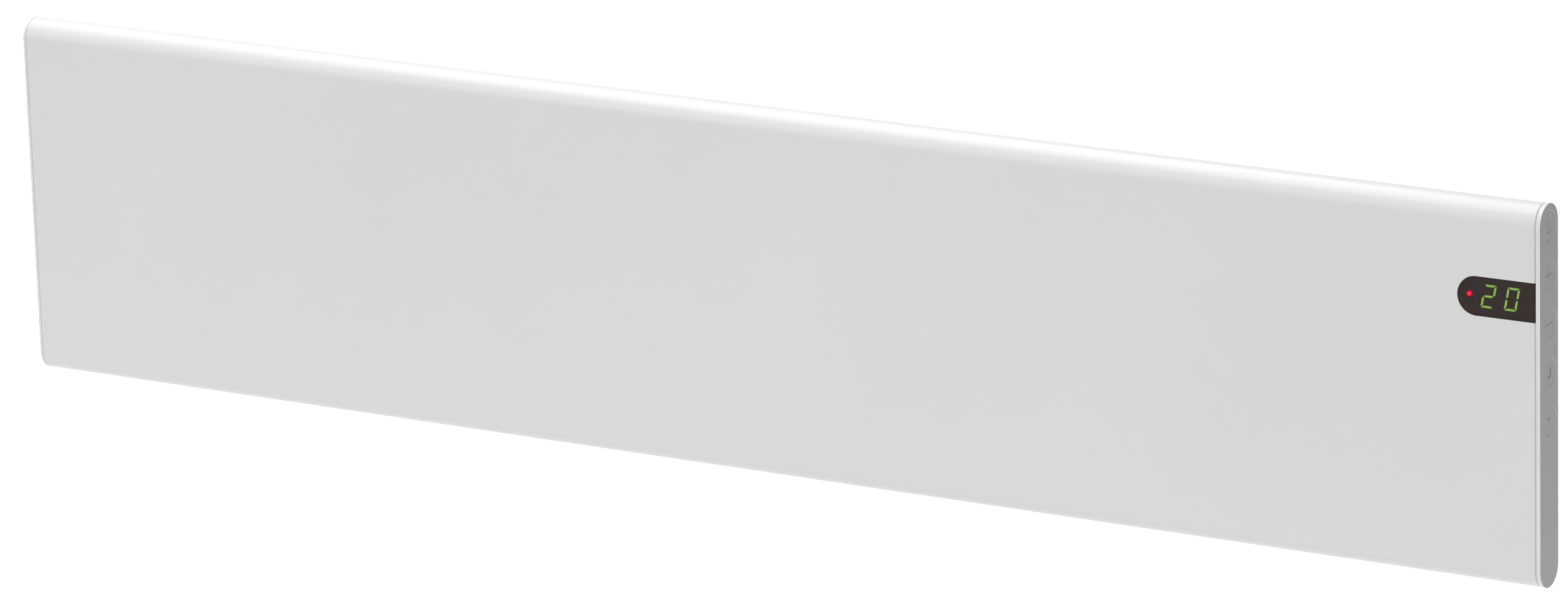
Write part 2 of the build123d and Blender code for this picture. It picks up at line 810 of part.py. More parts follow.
with BuildPart() as power_board:
    with BuildSketch(Plane.XZ.offset(-power_board_y)):
        with Locations((power_board_x, power_board_z)):
            Rectangle(power_board_width, power_board_height)
            with GridLocations(power_post_x, power_post_z, 2, 2):
                Circle(1.7, mode=Mode.SUBTRACT)
    extrude(amount=board_sheet)
    with BuildSketch(Plane.XZ.offset(-component_face)):
        with Locations((control_lead_x, control_lead_z)):
            Rectangle(plug_width, plug_height)
    extrude(amount=2 * plug_depth)
finish(power_board.part, "power_board")

with BuildPart() as power_board_posts:
    with BuildSketch(Plane.XZ.offset(-casing_inner_back)):
        with Locations((power_board_x, power_board_z)):
            with GridLocations(power_post_x, power_post_z, 2, 2):
                Circle(power_post_radius)
    extrude(amount=casing_inner_back - power_board_y)
    with BuildSketch(Plane.XZ.offset(-power_board_y)):
        with Locations((power_board_x, power_board_z)):
            with GridLocations(power_post_x, power_post_z, 2, 2):
                Circle(power_screw_radius)
    extrude(amount=-4, mode=Mode.SUBTRACT)
finish(power_board_posts.part, "power_board_posts")

with BuildPart() as power_board_screws:
    with BuildSketch(Plane.XZ.offset(-component_face)):
        with Locations((power_board_x, power_board_z)):
            with GridLocations(power_post_x, power_post_z, 2, 2):
                Circle(power_post_radius - 0.2)
    extrude(amount=1.8)
    with BuildSketch(Plane.XZ.offset(-component_face)):
        with Locations((power_board_x, power_board_z)):
            with GridLocations(power_post_x, power_post_z, 2, 2):
                Circle(power_screw_radius)
    extrude(amount=-5)
finish(power_board_screws.part, "power_board_screws")

with BuildPart() as power_relay:
    with BuildSketch(Plane.XZ.offset(-component_face)):
        with Locations((relay_x, relay_z)):
            Rectangle(relay_width, relay_height)
    extrude(amount=component_depth)
    fillet(power_relay.edges().filter_by(Axis.Y), radius=1)
finish(power_relay.part, "power_relay")

with BuildPart() as mains_capacitor:
    with BuildSketch(Plane.XZ.offset(-component_face)):
        with Locations((capacitor_x, relay_z)):
            Circle(capacitor_radius)
    extrude(amount=component_depth)
    fillet(mains_capacitor.faces().sort_by(Axis.Y)[0].edges(), radius=0.8)
finish(mains_capacitor.part, "mains_capacitor")

with BuildPart() as supply_transformer:
    with BuildSketch(Plane.XZ.offset(-component_face)):
        with Locations((transformer_x, transformer_z)):
            Rectangle(transformer_width, transformer_height)
    extrude(amount=component_depth)
    fillet(supply_transformer.edges().filter_by(Axis.Y), radius=1)
finish(supply_transformer.part, "supply_transformer")

# Its wire entries are in the bottom, and its screws are reached from the front.
with BuildPart() as terminal_block:
    with BuildSketch(Plane.XZ.offset(-casing_inner_back)):
        with Locations((terminal_x, terminal_z)):
            Rectangle(terminal_width, terminal_height)
    extrude(amount=terminal_depth)
    with BuildSketch(Plane.XZ.offset(-casing_inner_back + terminal_depth)):
        with Locations((terminal_x, terminal_z + 3)):
            with GridLocations(terminal_pitch, 0, 3, 1):
                Circle(2.4)
    extrude(amount=-5, mode=Mode.SUBTRACT)
    with BuildSketch(Plane.XY.offset(terminal_z - terminal_height / 2)):
        with Locations((terminal_x, casing_inner_back - terminal_depth / 2)):
            with GridLocations(terminal_pitch, 0, 3, 1):
                Circle(1.8)
    extrude(amount=7, mode=Mode.SUBTRACT)
finish(terminal_block.part, "terminal_block")

with BuildPart() as earth_stud:
    with BuildSketch(Plane.XZ.offset(-casing_inner_back)):
        with Locations((earth_x, earth_z)):
            Circle(2)
    extrude(amount=12)
    with BuildSketch(Plane.XZ.offset(-casing_inner_back)):
        with Locations((earth_x, earth_z)):
            RegularPolygon(4, 6)
    extrude(amount=3.2)
finish(earth_stud.part, "earth_stud")

with BuildPart() as air_sensor:
    with BuildSketch(Plane.XY.offset(-casing_height / 2 - sensor_out)):
        with Locations((sensor_x, gland_y)):
            Circle(sensor_radius)
    extrude(amount=sensor_length)
    fillet(air_sensor.faces().sort_by(Axis.Z)[0].edges(), radius=1.5)
    with BuildSketch(Plane.XY.offset(-casing_height / 2 + casing_sheet)):
        with Locations((sensor_x, gland_y)):
            Circle(sensor_radius + 1.5)
    extrude(amount=2)
finish(air_sensor.part, "air_sensor")

# The gland's body passes through the casing's bottom wall, with a nut inside and a cap outside.
with BuildPart() as gland_body:
    with BuildSketch(Plane.XY.offset(gland_low)):
        with Locations((gland_x, gland_y)):
            Circle(gland_thread - 0.6)
    extrude(amount=-casing_height / 2 - gland_low)
    with BuildSketch(Plane.XY.offset(-casing_height / 2)):
        with Locations((gland_x, gland_y)):
            RegularPolygon(gland_hex, 6)
    extrude(amount=-gland_hex_height)
    with BuildSketch(Plane.XY.offset(-casing_height / 2)):
        with Locations((gland_x, gland_y)):
            Circle(gland_thread)
    extrude(amount=10)
    with BuildSketch(Plane.XY.offset(gland_low - 1)):
        with Locations((gland_x, gland_y)):
            Circle(gland_bore)
    extrude(amount=30, mode=Mode.SUBTRACT)
finish(gland_body.part, "gland_body")

with BuildPart() as gland_nut:
    with BuildSketch(Plane.XY.offset(-casing_height / 2 + casing_sheet)):
        with Locations((gland_x, gland_y)):
            RegularPolygon(gland_hex, 6)
            Circle(gland_thread + 0.05, mode=Mode.SUBTRACT)
    extrude(amount=4)
finish(gland_nut.part, "gland_nut")

with BuildPart() as gland_cap:
    with BuildSketch(Plane.XY.offset(gland_cap_top)):
        with Locations((gland_x, gland_y)):
            RegularPolygon(gland_hex, 6)
    extrude(amount=-gland_cap_height)
    with BuildSketch(Plane.XY.offset(gland_cap_top - gland_cap_height)):
        with Locations((gland_x, gland_y)):
            Circle(gland_thread)
    extrude(amount=-gland_dome, taper=gland_dome_taper)
    with BuildSketch(Plane.XY.offset(gland_cap_top)):
        with Locations((gland_x, gland_y)):
            Circle(gland_thread - 0.55)
    extrude(amount=gland_low - gland_cap_top, mode=Mode.SUBTRACT)
    with BuildSketch(Plane.XY.offset(-casing_height / 2)):
        with Locations((gland_x, gland_y)):
            Circle(gland_bore)
    extrude(amount=-30, mode=Mode.SUBTRACT)
finish(gland_cap.part, "gland_cap")


def make_lead(name, radius, points, bends):
    """Makes a round lead: straight runs through the points, joined by tangent bends."""
    with BuildPart() as lead:
        with BuildLine() as route:
            FilletPolyline(*points, radius=bends)
        with BuildSketch(Plane(origin=route.wire() @ 0, z_dir=route.wire() % 0)):
            Circle(radius)
        sweep()
    plain_volume = math.pi * radius**2 * route.wire().length
    print(name, "volume over section times length:", round(lead.part.volume / plain_volume, 3))
    finish(lead.part, name)


make_lead(
    "right_element_lead",
    lead_radius,
    [
        (rod_end + pin_length, element_y, 0),
        (relay_x + 2, element_y, 0),
        (relay_x + 2, element_y, relay_z - relay_height / 2),
    ],
    [8],
)
make_lead(
    "left_element_lead",
    lead_radius,
    [
        (rod_start - pin_length, element_y, 0),
        (left_lead_x, element_y, 0),
        (left_lead_x, low_lead_y, terminal_z),
        (terminal_x - terminal_width / 2, low_lead_y, terminal_z),
    ],
    [8, 16],
)
make_lead(
    "control_lead",
    control_lead_radius,
    [
        (control_lead_x, component_face - 2 * plug_depth, control_lead_z),
        (control_lead_x, panel_mid, control_lead_z),
        (board_x - plug_depth, panel_mid, control_lead_z),
    ],
    [14],
)

# ---- Fasteners ----

with BuildPart() as rear_casing_screws:
    with BuildSketch(Plane.XZ.offset(-panel_back)):
        with Locations(*casing_screws):
            Circle(screw_head_radius)
    extrude(amount=-screw_head_height)
    chamfer(rear_casing_screws.faces().group_by(Axis.Y)[-1].edges(), screw_head_chamfer)
    with BuildSketch(Plane.XZ.offset(-panel_back)):
        with Locations(*casing_screws):
            Circle(screw_radius)
    extrude(amount=casing_screw_length)
finish(rear_casing_screws.part, "rear_casing_screws")

with BuildPart() as end_cap_screws:
    with BuildSketch(Plane.XZ.offset(-panel_back)):
        with Locations(*cap_screws):
            Circle(screw_head_radius)
    extrude(amount=-screw_head_height)
    chamfer(end_cap_screws.faces().group_by(Axis.Y)[-1].edges(), screw_head_chamfer)
    with BuildSketch(Plane.XZ.offset(-panel_back)):
        with Locations(*cap_screws):
            Circle(cap_screw_radius)
    extrude(amount=cap_screw_length)
finish(end_cap_screws.part, "end_cap_screws")

# ---- Wall bracket ----


def hook_corners(seat):
    """Gives a hook's corners, whose notch the casing's back wall drops into."""
    neck_front = hook_back - 2.0 - hook_tongue
    return [
        (hook_back, seat - hook_neck),
        (neck_front, seat - hook_neck),
        (neck_front, seat + hook_rise),
        (neck_front + hook_tongue, seat + hook_rise),
        (neck_front + hook_tongue, seat),
        (hook_back, seat),
    ]


# Each arm is an angle of folded steel: its back is screwed to the wall, its flange has the hooks.
for name, side in (("left_bracket_arm", -1), ("right_bracket_arm", 1)):
    with BuildPart() as arm:
        with BuildSketch(Plane.XZ):
            with Locations((side * arm_x, 0)):
                Rectangle(arm_width, arm_height)
            with Locations((side * arm_x, wall_hole_z), (side * arm_x, -wall_hole_z)):
                Circle(wall_hole_radius, mode=Mode.SUBTRACT)
            with Locations((side * rivet_x, rivet_z), (side * rivet_x, -rivet_z)):
                Circle(rivet_radius, mode=Mode.SUBTRACT)
        extrude(amount=arm_sheet)
        with BuildSketch(Plane.YZ.offset(side * hook_x - arm_sheet / 2)):
            with BuildLine():
                Polyline(
                    (0, -arm_height / 2),
                    (arm_waist, -arm_height / 2),
                    (hook_back, hook_seats[1] - 20),
                    *hook_corners(hook_seats[1]),
                    (hook_back, hook_seats[1] + 10),
                    (arm_waist, hook_seats[1] + 20),
                    (arm_waist, hook_seats[0] - 24),
                    (hook_back, hook_seats[0] - 16),
                    *hook_corners(hook_seats[0]),
                    (hook_back, hook_seats[0] + 10),
                    (arm_waist, arm_height / 2),
                    (0, arm_height / 2),
                    close=True,
                )
            make_face()
        extrude(amount=arm_sheet)
    finish(arm.part, name)

with BuildPart() as bracket_rail:
    with BuildSketch(Plane.YZ.offset(-rail_length / 2)):
        with Locations((-arm_sheet, 0)):
            Rectangle(rail_depth, rail_height, align=(Align.MAX, Align.CENTER))
        with Locations((-arm_sheet - rail_sheet, 0)):
            Rectangle(
                rail_depth,
                rail_height - 2 * rail_sheet,
                align=(Align.MAX, Align.CENTER),
                mode=Mode.SUBTRACT,
            )
    extrude(amount=rail_length)
    with BuildSketch(Plane.XZ):
        with GridLocations(2 * rivet_x, 2 * rivet_z, 2, 2):
            Circle(rivet_radius)
    extrude(amount=2 * (arm_sheet + rail_sheet), mode=Mode.SUBTRACT)
finish(bracket_rail.part, "bracket_rail")

with BuildPart() as bracket_rivets:
    with BuildSketch(Plane.XZ):
        with GridLocations(2 * rivet_x, 2 * rivet_z, 2, 2):
            Circle(rivet_radius)
    extrude(amount=arm_sheet + rail_sheet)
    with BuildSketch(Plane.XZ.offset(arm_sheet + rail_sheet)):
        with GridLocations(2 * rivet_x, 2 * rivet_z, 2, 2):
            Circle(rivet_head)
    extrude(amount=rivet_head_height)
finish(bracket_rivets.part, "bracket_rivets")
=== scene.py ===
import bpy
import json
import math
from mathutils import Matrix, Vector


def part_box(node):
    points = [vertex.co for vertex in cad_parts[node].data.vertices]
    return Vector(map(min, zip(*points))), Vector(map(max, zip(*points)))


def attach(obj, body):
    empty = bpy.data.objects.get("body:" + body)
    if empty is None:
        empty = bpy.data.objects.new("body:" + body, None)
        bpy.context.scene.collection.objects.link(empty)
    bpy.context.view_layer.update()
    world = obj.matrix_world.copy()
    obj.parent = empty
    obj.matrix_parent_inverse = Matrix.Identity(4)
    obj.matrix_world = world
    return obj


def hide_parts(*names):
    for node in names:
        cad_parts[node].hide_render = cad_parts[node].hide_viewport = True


# Wall panel heater: looks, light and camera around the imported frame. Metres, +Z up.
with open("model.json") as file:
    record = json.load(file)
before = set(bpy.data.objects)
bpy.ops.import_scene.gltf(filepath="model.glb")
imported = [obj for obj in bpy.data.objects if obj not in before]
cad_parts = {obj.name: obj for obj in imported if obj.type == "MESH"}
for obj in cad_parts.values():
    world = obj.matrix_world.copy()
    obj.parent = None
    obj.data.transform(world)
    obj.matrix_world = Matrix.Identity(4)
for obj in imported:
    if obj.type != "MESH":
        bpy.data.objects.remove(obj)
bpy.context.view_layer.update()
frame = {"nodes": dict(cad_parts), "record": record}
nodes = frame["nodes"]
mm = 0.001
tolerance = {
    "merge": 0.002 * mm,
    "flat": math.radians(0.5),
    "plane": 0.01 * mm,  # how near a plane a point has to lie to count as on it
    "curve": 0.02 * mm,
    "aligned": 0.9,  # least part of a direction along an axis that counts as along it
    "fullRound": 0.99999,  # share of a half width that a bevel takes, so that its sides never cross
}
cutReach = 4  # how many times as long a cutter is as what it goes through
# the turn that lays what is made along Z along each axis
turns = {"X": (0, math.pi / 2, 0), "Y": (math.pi / 2, 0, 0), "Z": (0, 0, 0)}


def toObjectMode():
    if bpy.context.object and bpy.context.object.mode != "OBJECT":
        bpy.ops.object.mode_set(mode="OBJECT")


def clearSelection():
    toObjectMode()
    bpy.ops.object.select_all(action="DESELECT")


def focus(piece):
    clearSelection()
    piece.select_set(True)
    bpy.context.view_layer.objects.active = piece


def editAll(piece):
    focus(piece)
    bpy.ops.object.mode_set(mode="EDIT")
    bpy.ops.mesh.select_all(action="SELECT")


def takePrimitive(name):
    piece = bpy.context.active_object
    piece.name = name
    piece.data.name = name
    bpy.ops.object.transform_apply(location=True, rotation=True, scale=True)
    return piece


def addBox(name, low, high):
    clearSelection()
    low, high = Vector(low), Vector(high)
    bpy.ops.mesh.primitive_cube_add(size=1, location=(low + high) / 2, scale=high - low)
    return takePrimitive(name)


def addRound(name, centre, radius, depth, axis, steps):
    clearSelection()
    bpy.ops.mesh.primitive_cylinder_add(
        vertices=steps, radius=radius, depth=depth, location=centre, rotation=turns[axis]
    )
    return takePrimitive(name)


def addBall(name, centre, radius, axis, steps):
    clearSelection()
    bpy.ops.mesh.primitive_uv_sphere_add(
        segments=steps, ring_count=steps // 2, radius=radius, location=centre, rotation=turns[axis]
    )
    return takePrimitive(name)


def mergedCopy(node, name):
    # a CAD mesh is loose triangles, so its copy is merged and its flats made whole
    clearSelection()
    piece = nodes[node].copy()
    piece.data = nodes[node].data.copy()
    for key in list(piece.keys()):
        del piece[key]
    piece.parent = None
    piece.name = name
    piece.data.name = name
    bpy.context.scene.collection.objects.link(piece)
    focus(piece)
    bpy.ops.mesh.customdata_custom_splitnormals_clear()
    editAll(piece)
    bpy.ops.mesh.mark_sharp(clear=True)
    bpy.ops.mesh.remove_doubles(threshold=tolerance["merge"])
    bpy.ops.mesh.dissolve_limited(angle_limit=tolerance["flat"])
    toObjectMode()
    return piece


def pick(piece, kind, test):
    # leaves the piece in edit mode with the faces or edges chosen that pass the test
    focus(piece)
    bpy.ops.object.mode_set(mode="EDIT")
    bpy.ops.mesh.select_mode(type=kind)
    bpy.ops.mesh.select_all(action="DESELECT")
    toObjectMode()
    mesh = piece.data
    if kind == "FACE":
        for face in mesh.polygons:
            face.select = test(face.center, face.normal)
    else:
        for edge in mesh.edges:
            a, b = (mesh.vertices[i].co for i in edge.vertices)
            edge.select = test((a + b) / 2, (b - a).normalized(), a, b)
    bpy.ops.object.mode_set(mode="EDIT")


def runsAlongX(middle, along, a, b):
    return abs(along.x) > tolerance["aligned"]


def inPlane(axis, place, *points):
    return all(abs(getattr(point, axis) - place) < tolerance["plane"] for point in points)


def bevelEdges(piece, test, width, steps):
    pick(piece, "EDGE", test)
    bpy.ops.mesh.bevel(offset=width, segments=steps, profile=0.5, affect="EDGES", clamp_overlap=False)
    toObjectMode()


def mergeClose(piece):
    editAll(piece)
    bpy.ops.mesh.remove_doubles(threshold=tolerance["merge"])
    toObjectMode()


def outwards(piece):
    editAll(piece)
    bpy.ops.mesh.normals_make_consistent(inside=False)
    toObjectMode()


def applied(piece, kind, **values):
    focus(piece)
    bpy.ops.object.modifier_add(type=kind)
    modifier = piece.modifiers[-1]
    for key, value in values.items():
        setattr(modifier, key, value)
    bpy.ops.object.modifier_apply(modifier=modifier.name)


def combine(piece, operation, others):
    for other in others:
        applied(piece, "BOOLEAN", operation=operation, object=other, solver="EXACT")
        bpy.data.objects.remove(other, do_unlink=True)


def cutAway(piece, *cutters):
    combine(piece, "DIFFERENCE", cutters)


def unite(piece, *additions):
    combine(piece, "UNION", additions)


def joinAll(pieces, name):
    clearSelection()
    for piece in pieces:
        piece.select_set(True)
    bpy.context.view_layer.objects.active = pieces[0]
    bpy.ops.object.join()
    pieces[0].name = name
    pieces[0].data.name = name
    return pieces[0]


def copyTo(piece, name, shift):
    twin = piece.copy()
    twin.data = piece.data.copy()
    twin.name = name
    twin.data.name = name
    bpy.context.scene.collection.objects.link(twin)
    focus(twin)
    twin.location = shift
    bpy.ops.object.transform_apply(location=True, rotation=True, scale=True)
    return twin


def seat(piece, body, slot, *replaced, smoothAngle=35):
    focus(piece)
    piece.data.materials.clear()
    piece.data.materials.append(materials[slot])
    bpy.ops.object.shade_smooth_by_angle(angle=math.radians(smoothAngle))
    applied(piece, "WEIGHTED_NORMAL", keep_sharp=True)  # flats stay flat beside their eased edges
    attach(piece, body)
    if replaced:
        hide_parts(*replaced)


# shader groups that several materials share
patterns = {
    "swellScale": 0.28,  # the slow swell's scale beside the fine peel's
    "rubSpan": (0.99, 0.86),  # how alike the soft and true normals are, from no rub to full
    "breakSpan": (0.4, 0.62),
    "crystalWander": 4 * mm,
}


def newGroup(name, inputs, outputs):
    group = bpy.data.node_groups.new(name, "ShaderNodeTree")
    for label, kind, value in inputs:
        socket = group.interface.new_socket(label, in_out="INPUT", socket_type=kind)
        socket.default_value = value
    for label, kind in outputs:
        group.interface.new_socket(label, in_out="OUTPUT", socket_type=kind)
    entry = group.nodes.new("NodeGroupInput")
    leave = group.nodes.new("NodeGroupOutput")
    return group, entry, leave


def addNode(tree, kind, **values):
    node = tree.nodes.new(kind)
    for key, value in values.items():
        if hasattr(node, key):
            setattr(node, key, value)
        else:
            node.inputs[key.replace("_", " ")].default_value = value
    return node


def addSpan(tree, fromMin, fromMax):
    span = addNode(tree, "ShaderNodeMapRange", clamp=True)
    span.inputs["From Min"].default_value = fromMin
    span.inputs["From Max"].default_value = fromMax
    return span


def readObject(tree, *readers):
    # gives each reader the piece's own coordinates
    place = addNode(tree, "ShaderNodeTexCoord").outputs["Object"]
    for reader in readers:
        tree.links.new(place, reader.inputs["Vector"])
    return place


def makePaintPeel():
    # powder coat: fine orange peel over a slower swell, and a slow drift for colour
    group, entry, leave = newGroup(
        "paintPeel",
        [("Size", "NodeSocketFloat", 700.0), ("Swell", "NodeSocketFloat", 0.35)],
        [("Height", "NodeSocketFloat"), ("Drift", "NodeSocketFloat")],
    )
    link = group.links.new
    fine = addNode(group, "ShaderNodeTexNoise", Detail=2.0, Roughness=0.45)
    slowSize = addNode(group, "ShaderNodeMath", operation="MULTIPLY")
    slowSize.inputs[1].default_value = patterns["swellScale"]
    slow = addNode(group, "ShaderNodeTexNoise", Detail=1.0, Roughness=0.5)
    drift = addNode(group, "ShaderNodeTexNoise", Scale=6.0, Detail=3.0, Roughness=0.55)
    blend = addNode(group, "ShaderNodeMix", data_type="FLOAT")
    readObject(group, fine, slow, drift)
    link(entry.outputs["Size"], fine.inputs["Scale"])
    link(entry.outputs["Size"], slowSize.inputs[0])
    link(slowSize.outputs[0], slow.inputs["Scale"])
    link(entry.outputs["Swell"], blend.inputs["Factor"])
    link(fine.outputs["Fac"], blend.inputs["A"])
    link(slow.outputs["Fac"], blend.inputs["B"])
    link(blend.outputs["Result"], leave.inputs["Height"])
    link(drift.outputs["Fac"], leave.inputs["Drift"])
    return group


def makeMouldGrain():
    # spark-eroded tool texture on a moulding
    group, entry, leave = newGroup(
        "mouldGrain",
        [("Size", "NodeSocketFloat", 2200.0)],
        [("Height", "NodeSocketFloat"), ("Mask", "NodeSocketFloat")],
    )
    link = group.links.new
    pits = addNode(group, "ShaderNodeTexVoronoi", feature="SMOOTH_F1")
    fine = addNode(group, "ShaderNodeTexNoise", Detail=3.0, Roughness=0.6)
    total = addNode(group, "ShaderNodeMath", operation="ADD")
    cloud = addNode(group, "ShaderNodeTexNoise", Scale=45.0, Detail=3.0)
    readObject(group, pits, fine, cloud)
    link(entry.outputs["Size"], pits.inputs["Scale"])
    link(entry.outputs["Size"], fine.inputs["Scale"])
    link(pits.outputs["Distance"], total.inputs[0])
    link(fine.outputs["Fac"], total.inputs[1])
    link(total.outputs[0], leave.inputs["Height"])
    link(cloud.outputs["Fac"], leave.inputs["Mask"])
    return group


def makeEdgeRub():
    # 1 along edges that hands and tools rub, broken up by noise
    group, entry, leave = newGroup(
        "edgeRub",
        [("Width", "NodeSocketFloat", 0.6 * mm), ("Break", "NodeSocketFloat", 180.0)],
        [("Mask", "NodeSocketFloat")],
    )
    link = group.links.new
    shape = addNode(group, "ShaderNodeNewGeometry")
    soft = addNode(group, "ShaderNodeBevel", samples=4)
    match = addNode(group, "ShaderNodeVectorMath", operation="DOT_PRODUCT")
    turned = addSpan(group, *patterns["rubSpan"])
    noise = addNode(group, "ShaderNodeTexNoise", Detail=4.0)
    broken = addSpan(group, *patterns["breakSpan"])
    both = addNode(group, "ShaderNodeMath", operation="MULTIPLY")
    readObject(group, noise)
    link(entry.outputs["Width"], soft.inputs["Radius"])
    link(soft.outputs["Normal"], match.inputs[0])
    link(shape.outputs["Normal"], match.inputs[1])
    link(match.outputs["Value"], turned.inputs["Value"])
    link(entry.outputs["Break"], noise.inputs["Scale"])
    link(noise.outputs["Fac"], broken.inputs["Value"])
    link(turned.outputs["Result"], both.inputs[0])
    link(broken.outputs["Result"], both.inputs[1])
    link(both.outputs[0], leave.inputs["Mask"])
    return group


def makeRolledLines():
    # long streaks along one axis, as drawn and rolled metal has
    group, entry, leave = newGroup(
        "rolledLines",
        [("Stretch", "NodeSocketVector", (40.0, 2200.0, 2200.0))],
        [("Streak", "NodeSocketFloat"), ("Patch", "NodeSocketFloat")],
    )
    link = group.links.new
    pull = addNode(group, "ShaderNodeVectorMath", operation="MULTIPLY")
    streak = addNode(group, "ShaderNodeTexNoise", Scale=1.0, Detail=3.0, Roughness=0.65)
    patch = addNode(group, "ShaderNodeTexNoise", Scale=38.0, Detail=4.0, Roughness=0.6)
    readObject(group, pull, patch)
    link(entry.outputs["Stretch"], pull.inputs[1])
    link(pull.outputs[0], streak.inputs["Vector"])
    link(streak.outputs["Fac"], leave.inputs["Streak"])
    link(patch.outputs["Fac"], leave.inputs["Patch"])
    return group


def makeSpangle():
    # crystals of a zinc coat: each cell has its own tone
    group, entry, leave = newGroup(
        "spangle", [("Size", "NodeSocketFloat", 160.0)], [("Tone", "NodeSocketFloat")]
    )
    link = group.links.new
    wander = addNode(group, "ShaderNodeTexNoise", Scale=90.0, Detail=2.0)
    push = addNode(group, "ShaderNodeVectorMath", operation="MULTIPLY_ADD")
    push.inputs[1].default_value = [patterns["crystalWander"]] * 3
    cells = addNode(group, "ShaderNodeTexVoronoi", feature="F1")
    tone = addNode(group, "ShaderNodeSeparateColor")
    place = readObject(group, wander)
    link(wander.outputs["Color"], push.inputs[0])
    link(place, push.inputs[2])
    link(push.outputs[0], cells.inputs["Vector"])
    link(entry.outputs["Size"], cells.inputs["Scale"])
    link(cells.outputs["Color"], tone.inputs["Color"])
    link(tone.outputs["Red"], leave.inputs["Tone"])
    return group


paintPeel = makePaintPeel()
mouldGrain = makeMouldGrain()
edgeRub = makeEdgeRub()
rolledLines = makeRolledLines()
spangle = makeSpangle()
print("shader groups made")

# how far a kind's roughness strays, the part of its noise that is used, and its rubbed edges
finish = {
    "paint": {"rough": (-0.03, 0.03), "noise": (0.3, 0.7), "rub": {"Width": 0.5 * mm}},
    "moulding": {"rough": (-0.05, 0.05), "noise": (0.3, 0.7)},
    "metal": {
        "rough": (-0.08, 0.1),
        "noise": (0.35, 0.65),
        "rub": {"Width": 0.4 * mm, "Break": 260.0},
    },
}
zincCoat = {
    "crystalSize": 150.0,
    "stretch": (60.0, 900.0, 900.0),
    "dark": (0.42, 0.44, 0.46),
    "light": (0.62, 0.63, 0.64),
    "worn": (0.75, 0.76, 0.77),
    "rub": {"Width": 0.5 * mm},
    "rough": (0.32, 0.5),
    "lineDepth": 0.02 * mm,
}
board = {
    "trackScale": 130.0,
    "trackWidth": 0.05,
    "plain": (0.012, 0.085, 0.03),
    "track": (0.03, 0.17, 0.06),
    "grainSize": 900.0,
    "rough": (0.22, 0.34),
    "trackHeight": 0.04 * mm,
}
lens = {
    "clearMiddle": (417.85 * mm, 0.0, 51.55 * mm),  # before the lamp, a little to the viewer's side
    "clearRadius": 2.05 * mm,
    "blur": 0.12 * mm,
    "smoke": 0.7,
    "clear": 0.12,
    "browns": ((0.026, 0.0145, 0.012), (0.029, 0.0165, 0.0145)),
    "grainSize": 260.0,
    "rough": (0.05, 0.09),
    "grainDepth": 0.002 * mm,
}
glowing = {
    "grainSize": 3200.0,
    "grainDepth": 0.01 * mm,
    "bodyShade": 0.8,
    "edgeSpan": (0.25, 0.85),  # the part of the glow attribute over which the edge's colour fades out
    "coreSpan": (0.85, 1.0),
}


def newMaterial(name, **sockets):
    material = bpy.data.materials.new(name)
    material.use_nodes = True
    shader = material.node_tree.nodes["Principled BSDF"]
    for key, value in sockets.items():
        shader.inputs[key.replace("_", " ")].default_value = value
    return material, material.node_tree, shader


def placeGroup(tree, group, **values):
    node = tree.nodes.new("ShaderNodeGroup")
    node.node_tree = group
    for key, value in values.items():
        node.inputs[key].default_value = value
    return node


def blendColours(tree, mask, low, high, lowMask=0.0, highMask=1.0):
    span = addSpan(tree, lowMask, highMask)
    tree.links.new(mask, span.inputs["Value"])
    mix = addNode(tree, "ShaderNodeMix", data_type="RGBA")
    tree.links.new(span.outputs["Result"], mix.inputs["Factor"])
    for socket, colour in ((mix.inputs[6], low), (mix.inputs[7], high)):
        if isinstance(colour, tuple):
            socket.default_value = (*colour, 1.0)
        else:
            tree.links.new(colour, socket)
    return mix.outputs[2]


def spanValue(tree, mask, low, high, lowMask=0.3, highMask=0.7):
    span = addSpan(tree, lowMask, highMask)
    span.inputs["To Min"].default_value = low
    span.inputs["To Max"].default_value = high
    tree.links.new(mask, span.inputs["Value"])
    return span.outputs["Result"]


def bumpFrom(tree, shader, height, depth):
    bump = addNode(tree, "ShaderNodeBump", Distance=depth, Strength=1.0)
    tree.links.new(height, bump.inputs["Height"])
    tree.links.new(bump.outputs["Normal"], shader.inputs["Normal"])


def roughFrom(tree, shader, mask, low, high, *maskSpan):
    tree.links.new(spanValue(tree, mask, low, high, *maskSpan), shader.inputs["Roughness"])


def wearEdges(tree, colour, worn, rub):
    return blendColours(tree, placeGroup(tree, edgeRub, **rub).outputs["Mask"], colour, worn)


def paintedMaterial(name, light, dark, roughness, size, depth, worn=None):
    kind = finish["paint"]
    material, tree, shader = newMaterial(name, Specular_IOR_Level=0.5)
    peel = placeGroup(tree, paintPeel, Size=size)
    colour = blendColours(tree, peel.outputs["Drift"], dark, light, *kind["noise"])
    if worn:
        colour = wearEdges(tree, colour, worn, kind["rub"])
    tree.links.new(colour, shader.inputs["Base Color"])
    roughFrom(tree, shader, peel.outputs["Drift"], *(roughness + stray for stray in kind["rough"]))
    bumpFrom(tree, shader, peel.outputs["Height"], depth)
    return material


def mouldedMaterial(name, light, dark, roughness, size, depth, specular=0.5, sheen=0.0, rim=None):
    kind = finish["moulding"]
    material, tree, shader = newMaterial(name, Specular_IOR_Level=specular, Sheen_Weight=sheen)
    grain = placeGroup(tree, mouldGrain, Size=size)
    colour = blendColours(tree, grain.outputs["Mask"], dark, light, *kind["noise"])
    if rim:
        # hole edges painted paler: a painted highlight standing in for light catching their eased edges
        paintedHighlight = addNode(tree, "ShaderNodeAttribute", attribute_name="rim")
        colour = blendColours(tree, paintedHighlight.outputs["Fac"], colour, rim)
    tree.links.new(colour, shader.inputs["Base Color"])
    roughFrom(tree, shader, grain.outputs["Mask"], *(roughness + stray for stray in kind["rough"]))
    bumpFrom(tree, shader, grain.outputs["Height"], depth)
    return material


